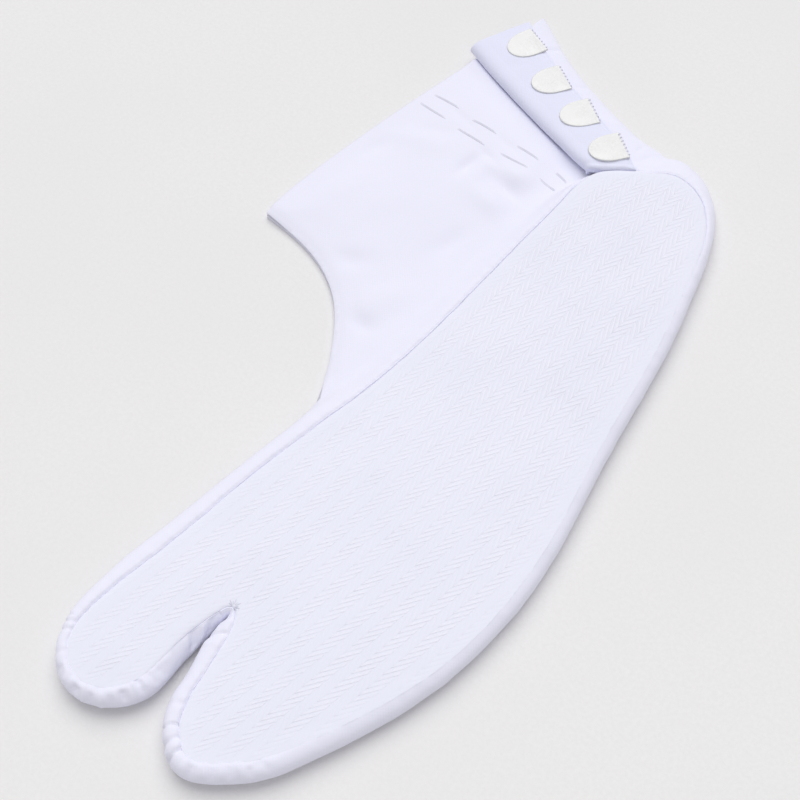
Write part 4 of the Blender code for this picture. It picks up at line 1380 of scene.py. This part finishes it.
@dataclass
class Flap:
    """Fastening flap turned back over itself: its cut, its lining and its free edge."""

    layout: Layout
    flat_steps: int = 12
    roll_steps: int = 26
    back_steps: int = 44
    crowding: float = 1.6
    plump: float = 0.22
    lining_low: float = CLOTH / 2 + LAYER_GAP
    nose: float = 0.30
    edge_groove: float = 0.16
    tuck_reach: float = 1.6
    tuck_sway: float = 0.35
    tuck_limit: float = 1.2
    tuck_start: float = 0.2
    tuck_drop: tuple[float, float] = (2.4, 1.6)
    tuck_steps: int = 8

    def sections(self, s: Array) -> list[tuple[Array, Array, Array]]:
        """Cuts of the flap.

        Args:
            s: Distances of the cuts along the rim's line.

        Returns:
            For each cut its plan way, its places (x, y, z) and its directions (along, rise).
        """
        span = s[-1] - s[0]
        return [self._cut(place, (place - s[0]) / span) for place in s]

    def _cut(self, s: float, share: float) -> tuple[Array, Array, Array]:
        """One cut: along the wrap, round the fold and back to the free edge."""
        edge = self.layout.outer.place(s)[0]
        run = self.layout.fold.place(share * self.layout.fold.length)[0] - edge
        length = float(np.hypot(*run))
        way = run / length
        base = float(self.layout.outer.value("top", s)[0])
        top = base + FLAP_RISE - FLAP_SETTLE * bell(share / FLAP_SETTLE_SHARE)
        roll = length - FOLD_ROLL
        fade = bell(share / FLAP_DRIFT_SHARE)
        side = np.array((-way[1], way[0])) * FLAP_DRIFT * fade
        flat = np.linspace(0.0, roll, self.flat_steps + 1)[1:-1]
        far = roll + FOLD_ROLL * 4.0 / 3.0
        corners = ((roll, base), (far, base - FOLD_SAG), (far, top + FOLD_PUFF), (roll, top))
        t = np.linspace(0.0, 1.0, self.roll_steps + 1)
        curve, ways = bezier([np.array([c]) for c in corners], t)
        left = np.linspace(1.0, 0.0, self.back_steps + 1)[1:] ** self.crowding
        back = FREE_EDGE_TRIM + (roll - FREE_EDGE_TRIM) * left
        plump = self.plump * np.sin(math.pi * left)
        q = np.concatenate((flat, curve[0, :, 0], back))
        z = np.concatenate((np.full(len(flat), base), curve[0, :, 1], top + plump))
        cut = np.column_stack((q, z))
        turn = unit(np.gradient(cut, axis=0))
        turn[len(flat):len(flat) + len(t)] = ways[0]
        drift = np.concatenate((np.zeros(len(flat)), np.linspace(0.0, 1.0, len(t)),
                                np.ones(len(back))))
        plan = edge + side * drift[:, None] + way * q[:, None]
        return way, np.column_stack((plan, z)), turn

    def walls(self, s: Array, high: float, low: float) -> tuple[Array, Array]:
        """Two faces offset from the flap's middle.

        Args:
            s: Distances of the cuts.
            high: Offset of the first face, towards the cloth's right side.
            low: Offset of the second face.

        Returns:
            The two faces' points, each (cuts, places, 3).
        """
        faces = ([], [])
        for way, places, turn in self.sections(s):
            along, rise = turn.T
            for face, offset in zip(faces, (high, low)):
                moved = places.copy()
                moved[:, :2] -= way * (rise * offset)[:, None]
                moved[:, 2] += along * offset
                face.append(moved)
        return np.array(faces[0]), np.array(faces[1])

    def lining(self) -> Piece:
        """Build the lining that shows on the turned-back flap.

        Returns:
            The lining's object.
        """
        shell = Shell("facing_cotton", 0.5)
        s, start = self.layout.wrap_stations()
        s = s[start:]
        first = self.flat_steps - 1 + int(self.nose * self.roll_steps)
        outer, _ = self.walls(s, -(self.lining_low + FACING_WALL), 0.0)
        inner, _ = self.walls(s, -self.lining_low, 0.0)
        outer, inner = outer[:, first:], inner[:, first:]
        grow = smoothstep(-0.15, 0.22, np.linspace(0.0, 1.0, outer.shape[1]))[None, :, None]
        outer = inner + (outer - inner) * grow
        plan = outer[..., :2].reshape(-1, 2)
        soft = 0.10 * field_noise(plan, 7.5, 31) + 0.07 * field_noise(plan, 3.5, 32)
        outer[..., 2] += soft.reshape(outer.shape[:2]) * grow[..., 0]
        inset = np.linalg.norm(outer - outer[:, -1:], axis=2)
        outer[..., 2] -= self.edge_groove * (bell((inset - 0.9) / 0.35) + bell(inset / 0.3))
        drops = zip((outer, inner), self.tuck_drop)
        outer, inner = (self._tuck(face, drop) for face, drop in drops)
        shell.grid(shell.add(outer, inner))
        return shell.build()

    def _tuck(self, face: Array, drop: float) -> Array:
        """Carry a face on over the flap's lower end, down to the sole seam."""
        way = unit((face[0, :, :2] - face[3, :, :2]).mean(axis=0))
        run = np.linspace(0.0, 1.0, face.shape[1])
        reach = self.tuck_reach * (1.0 + self.tuck_sway * drift_noise(run * 14.0, 2.2, 61))
        begun = smoothstep(0.0, self.tuck_start, run)
        rows = [face]
        for turn in np.radians(np.linspace(0.0, 90.0, self.tuck_steps + 1)[1:]):
            row = face[0].copy()
            row[:, :2] += way * np.minimum(reach * math.sin(turn), self.tuck_limit)[:, None]
            row[:, 2] -= drop * begun * (1.0 - math.cos(turn))
            row[:, 2] += 0.16 * math.sin(turn * 2) * drift_noise(run * 14.0, 1.6, 62)
            rows.insert(0, row[None])
        return np.concatenate(rows)


@dataclass
class FourToeUpper:
    """Upper of the four-toe side: all the cloth beneath, the outer rim, the wrap and the flap."""

    layout: Layout
    flap: Flap
    wander: float = 0.16
    wander_span: float = 9.0

    def make(self) -> Piece:
        """Build the upper.

        Returns:
            The upper's object.
        """
        shell = Shell("four_toe_cotton", 0.25)
        lay = self.layout
        s, start = lay.wrap_stations()
        rim = Rim(lay.outer, FOUR_TOE_GATHERS, FOUR_TOE_FOLDS, seed=41)
        numbers = rim.strip(shell, s)
        shell.outer[numbers[start:]] = self._wrap(rim, s[start:])
        hem = lay.hem.place(lay.hem.even(1.0))[::-1]
        seam = lay.instep.place(lay.instep.even(1.0))[1:]
        edges = [level_points(shell, line, 0.0, CLOTH) for line in (hem, seam)]
        shell.fill(np.concatenate((numbers[:, -1], *edges)), 0.0, None)
        outer, inner = self.flap.walls(s[start:], CLOTH / 2, -CLOTH / 2)
        cloth = shell.add(outer, inner)
        shell.grid(np.column_stack((numbers[start:, 0], cloth)))
        return shell.build()

    def _wrap(self, rim: Rim, s: Array) -> Array:
        """Outer face of the wrap: creased, without the seam's groove, as the flap carries it on.

        Args:
            rim: The rim that the wrap is a part of.
            s: Distances of its cuts.

        Returns:
            Its points, one row a cut.
        """
        points, ways = rim.cut(s)
        r, z = points[..., 0], points[..., 1]
        plan = rim.track.stand(s, r, z)[..., :2].reshape(-1, 2)
        share = np.linspace(0.0, 1.0, points.shape[1])[None, :]
        crease = sum(form.at(plan) for form in WRAP_FORMS).reshape(r.shape)
        wander = drift_noise(s[:, None] + 5.0 * share, self.wander_span, 43)
        crease = crease + self.wander * np.sin(math.pi * share) * wander
        high = CLOTH / 2 + crease * np.sqrt(np.sin(math.pi * np.clip(share * 1.15, 0.0, 1.0)))
        level = np.maximum(z + ways[..., 0] * high, 0.0)
        return rim.track.stand(s, r - ways[..., 1] * high, level)


@dataclass
class Clasps:
    """Rounded metal clasps sewn along the flap's free edge."""

    layout: Layout
    places: tuple[tuple[float, float], ...] = ((-78.2, 132.6), (-61.0, 125.4), (-45.0, 119.8),
                                               (-29.0, 114.4))
    edge: float = 11.0
    length: float = 11.7
    shoulder: float = 3.4
    bluntness: float = 0.9
    centre: float = 0.44
    swing: float = -4.0
    inset: float = -0.1
    wall: float = 0.6
    gap: float = 0.06
    profile: tuple[tuple[float, float], ...] = (
        (0.985, 0.0), (1.0, 0.12), (1.0, 0.38), (0.993, 0.50), (0.98, 0.58), (0.96, 0.61),
        (0.935, 0.59), (0.91, 0.575), (0.86, 0.59), (0.66, 0.64), (0.40, 0.68), (0.20, 0.70))
    crown: float = 0.705
    edge_steps: int = 24
    side_steps: int = 7
    arc_steps: int = 72
    sewn: int = 7
    sewn_span: float = 0.94
    sewn_reach: tuple[float, float] = (-0.40, 0.42)
    sewn_lean: float = 0.35
    sewn_sink: float = 0.75
    sewn_rise: float = 0.80
    stitches: list[Array] = field(default_factory=list)

    def outline(self) -> Array:
        """Plan outline with the straight edge on the x axis."""
        half = self.edge / 2
        straight = np.linspace(-half, half, self.edge_steps + 1)[1:-1]
        turn = np.linspace(0.0, math.pi, self.arc_steps + 1)
        tip = self.shoulder + (self.length - self.shoulder) * np.sin(turn) ** self.bluntness
        rise = np.linspace(0.0, self.shoulder, self.side_steps + 1)[:-1]
        x = (straight, np.full_like(rise, half), half * np.cos(turn), np.full_like(rise, -half))
        y = (np.zeros_like(straight), rise, tip, rise[::-1])
        return np.column_stack((np.concatenate(x), np.concatenate(y)))

    def plate(self) -> tuple[Array, list[tuple[int, ...]]]:
        """Domed plate with a rolled edge, lying on z = 0.

        Returns:
            Its points and faces.
        """
        ring = self.outline()
        count = len(ring)
        middle = np.array((0.0, self.length * self.centre))
        points = [np.column_stack((middle + (ring - middle) * scale, np.full(count, height)))
                  for scale, height in self.profile]
        points.append(np.array([(*middle, self.crown), (*middle, 0.0)]))
        bottom = len(self.profile) * count + 1
        rings = np.arange(bottom - 1).reshape(-1, count)
        faces = bands(rings)
        last = bottom - 1 - count
        for a, b in zip(range(count), (*range(1, count), 0)):
            faces += (last + a, last + b, bottom - 1), (b, a, bottom)
        return np.vstack(points), faces

    def make(self) -> list[Piece]:
        """Build the four clasps.

        Returns:
            Their objects, from the leg's hem to the heel.
        """
        track, fold = self.layout.outer, self.layout.fold
        s, start = self.layout.wrap_stations()
        plate, faces = self.plate()
        made = []
        for number, place in enumerate(self.places, start=1):
            at = track.nearest(place)
            edge = track.place(at)[0]
            share = (at - s[start]) / (s[-1] - s[start])
            inward = unit(fold.place(share * fold.length)[0] - edge) - track.outward(at)[0]
            angle = math.atan2(inward[1], inward[0]) + math.radians(self.swing)
            sides = track.value("top", np.array((at - self.edge / 2, at + self.edge / 2)))
            tilt = math.atan2(sides[0] - sides[1], self.edge)
            lining = FLAP_RISE + CLOTH / 2 + LAYER_GAP + FACING_WALL
            height = float(track.value("top", at)[0]) + lining + self.gap
            spot = edge + heading(angle) * (FREE_EDGE_TRIM + self.inset)
            turn = Matrix.Rotation(angle - math.pi / 2, 3, "Z") @ Matrix.Rotation(tilt, 3, "Y")
            turned = plate @ np.array(turn).T + (*spot, height)
            made.append(mesh_object(f"clasp_plate_{number}", turned, faces))
            self.stitches += self._sewing(turned[0, 2] + self.wall, angle, spot)
        return made

    def _sewing(self, top: float, angle: float, spot: Array) -> list[Array]:
        """Stitches over a clasp's straight edge.

        Args:
            top: Height of the plate's face.
            angle: Way that the clasp points, in radians.
            spot: Middle of its straight edge.

        Returns:
            Lines of the stitches.
        """
        way, side = heading(angle), heading(angle + math.pi / 2)
        share = np.linspace(0.0, 1.0, 17)
        run = self.sewn_reach[0] + (self.sewn_reach[1] - self.sewn_reach[0]) * share
        height = top - self.sewn_sink + self.sewn_rise * np.sin(math.pi * share) ** 0.3
        lines = []
        for number in range(self.sewn):
            across = ((number + 0.5) / self.sewn - 0.5) * self.edge * self.sewn_span
            across = across + self.sewn_lean * (share - 0.5)
            plan = spot + side * across[:, None] + way * run[:, None]
            lines.append(np.column_stack((plan, height)))
        return lines


@dataclass
class Loops:
    """Two rows of thread loops on the leg that the clasps hook into."""

    layout: Layout
    rows: tuple[tuple[tuple[float, float, float, float], ...], ...] = (
        ((-92.8, 89.1, -81.1, 88.9), (-76.0, 88.0, -64.5, 88.4),
         (-59.1, 88.7, -48.2, 90.0), (-43.6, 89.4, -36.0, 89.1)),
        ((-91.5, 94.8, -80.8, 95.3), (-74.7, 94.1, -64.7, 94.7),
         (-57.0, 95.0, -47.9, 95.2), (-41.2, 95.2, -35.7, 94.0)),
    )
    # The loops sit mostly below the cloth's face, so they cast little shadow; the thread's grey
    # colour paints that shadow instead.
    lift: float = -0.13
    bow: float = 0.10
    sink: float = 0.60
    thread: Thread = Thread(ply=0.28, twist=240.0, sides=7, step=0.16)

    def make(self) -> list[Piece]:
        """Build both rows.

        Returns:
            One object a row.
        """
        made = []
        for number, row in enumerate(self.rows, start=1):
            lines = [self._line(np.array(ends), number) for ends in row]
            made.append(self.thread.lay(f"loop_row_{number}", lines))
        return made

    def _line(self, ends: Array, row: int) -> Array:
        """Middle line of one loop, from stitch hole to stitch hole."""
        share = np.linspace(0.0, 1.0, 41)
        plan = ends[:2] + (ends[2:] - ends[:2]) * share[:, None]
        hump = np.sin(math.pi * share)
        plan[:, 1] += self.bow * hump * (1.0 if row == 2 else -1.0)
        skin = leg_middle(self.layout, plan) + CLOTH / 2
        height = skin - self.sink + (self.sink + self.lift) * hump**0.14
        return np.column_stack((plan, height))


@dataclass
class GapStitches:
    """Small hand stitches that fan round the top of the gap between the toes."""

    sole: Sole
    reach: tuple[float, ...] = (1.5, 2.1, 1.6, 2.3, 1.9, 2.4, 1.7, 2.0, 1.4)
    angles: tuple[float, ...] = (176.0, 156.0, 128.0, 108.0, 82.0, 63.0, 38.0, 20.0, -8.0)
    start: float = 0.15
    thread: Thread = Thread(ply=0.10, twist=0.9)

    def make(self) -> Piece:
        """Build the stitches.

        Returns:
            The stitches' object.
        """
        lines = []
        for angle, reach in zip(self.angles, self.reach):
            way = heading(math.radians(angle))
            share = np.linspace(0.0, 1.0, 25)
            away = self.start + (reach - self.start) * share
            plan = np.array(GAP_APEX) + way * away[:, None]
            skin = self.sole.height(plan, np.maximum(away - 0.1, 0.0))
            height = skin - 0.22 + 0.24 * np.sin(math.pi * share) ** 0.4
            lines.append(np.column_stack((plan, height)))
        return self.thread.lay("gap_stitches", lines)


# --------------------------------------------------------------------------- studio


@dataclass
class Studio:
    """Pale table top, soft light and the camera."""

    camera_plan: tuple[float, float] = (142.208, -190.914)
    camera_height: float = 405.0
    camera_tilt: float = 32.0
    camera_turn: float = 41.0
    focal_share: float = 1640.3 / 800.0
    sensor: float = 36.0
    table_size: float = 4.0
    fill_strength: float = 0.44
    key: tuple[float, float, float, float] = (1.77, 60.0, -2.0, 64.0)
    front: tuple[float, float, float, float] = (0.24, 50.0, 180.0, 50.0)

    def make(self) -> None:
        """Build the table, the lights and the camera."""
        self._table()
        self._camera()
        self._lights()

    def _table(self) -> None:
        """Table top just under the sock."""
        half = self.table_size / 2
        mesh = bpy.data.meshes.new("table_top")
        corners = ((-half, -half), (half, -half), (half, half), (-half, half))
        mesh.from_pydata([(*corner, TABLE_LEVEL) for corner in corners], [], [(0, 1, 2, 3)])
        mesh.materials.append(PALE_TABLE.make())
        put("table_top", mesh)

    def _camera(self) -> None:
        """Camera above the toes' side, looking up the foot."""
        data = bpy.data.cameras.new("camera")
        data.sensor_width = self.sensor
        data.lens = self.sensor * self.focal_share
        data.clip_start = 0.01
        camera = put("camera", data)
        plan = (np.array(self.camera_plan) + ORIGIN) * MM
        camera.location = (plan[0], plan[1], self.camera_height * MM)
        turn = math.radians(self.camera_turn)
        camera.rotation_euler = (math.radians(self.camera_tilt), 0.0, turn)
        bpy.context.scene.camera = camera

    def _sun(self, name: str, strength: float, softness: float, turn: float, lift: float) -> None:
        """Add a soft distant light.

        Args:
            name: Its name.
            strength: Its energy.
            softness: Width of its disc in degrees.
            turn: Degrees that it stands to the left of straight beyond the sock.
            lift: Degrees that it stands above the table.
        """
        data = bpy.data.lights.new(name, "SUN")
        data.energy = strength
        data.angle = math.radians(softness)
        light = put(name, data)
        angle = math.radians(90.0 + self.camera_turn + turn)
        rise = math.radians(lift)
        way = Vector((*heading(angle) * math.cos(rise), math.sin(rise)))
        light.location = way
        light.rotation_euler = (-way).to_track_quat("-Z", "Y").to_euler()

    def _lights(self) -> None:
        """A broad soft light from beyond the heel, a weak one before the toes and an even fill."""
        self._sun("key_light", *self.key)
        self._sun("front_light", *self.front)
        world = bpy.data.worlds.new("fill")
        world.use_nodes = True
        back = world.node_tree.nodes["Background"]
        back.inputs["Color"].default_value = (1.0, 1.0, 1.0, 1.0)
        back.inputs["Strength"].default_value = self.fill_strength
        scene = bpy.context.scene
        scene.world = world
        scene.view_settings.view_transform = "Standard"


# --------------------------------------------------------------------------- dressing


def dress(piece: Piece, material: bpy.types.Material, node: str = "") -> None:
    """Give a piece its finish and tell the frame what it is.

    Args:
        piece: The piece.
        material: Its finish.
        node: The solid that it stands for, if any.
    """
    piece.data.materials.append(material)
    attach(piece, BODY)
    if node:
        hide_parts(node)
    LOG.info("%s: %d faces", piece.name, len(piece.data.polygons))


def main() -> None:
    logging.basicConfig(level=logging.INFO, format="%(name)s: %(message)s")
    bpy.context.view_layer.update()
    layout = Layout()
    sole_maker = Sole(layout)
    flap = Flap(layout)
    cotton = BROADCLOTH.make()
    # Thread material whose grey is painted shadow.
    thread = THREAD_PAINTED_SHADOW.make()
    metal = SATIN_METAL.make()

    sole = sole_maker.make()
    dress(sole, TWILL.make(), "sole")
    big_toe = BigToeUpper(layout).make()
    dress(big_toe, cotton, "big_toe_upper")
    four_toe = FourToeUpper(layout, flap).make()
    dress(four_toe, cotton, "four_toe_upper")
    lining = flap.lining()
    dress(lining, LINING.make(), "flap_facing")
    clasps = Clasps(layout)
    plates = clasps.make()
    sewing = Thread(ply=0.09, twist=0.8).lay("clasp_stitches", clasps.stitches)
    for number, plate in enumerate(plates, start=1):
        dress(plate, metal, f"clasp_{number}")
    loops = Loops(layout).make()
    stitches = GapStitches(sole_maker).make()
    for piece in (*loops, stitches, sewing):
        dress(piece, thread)

    Studio().make()
    bpy.context.view_layer.update()


if __name__ == "__main__":
    main()
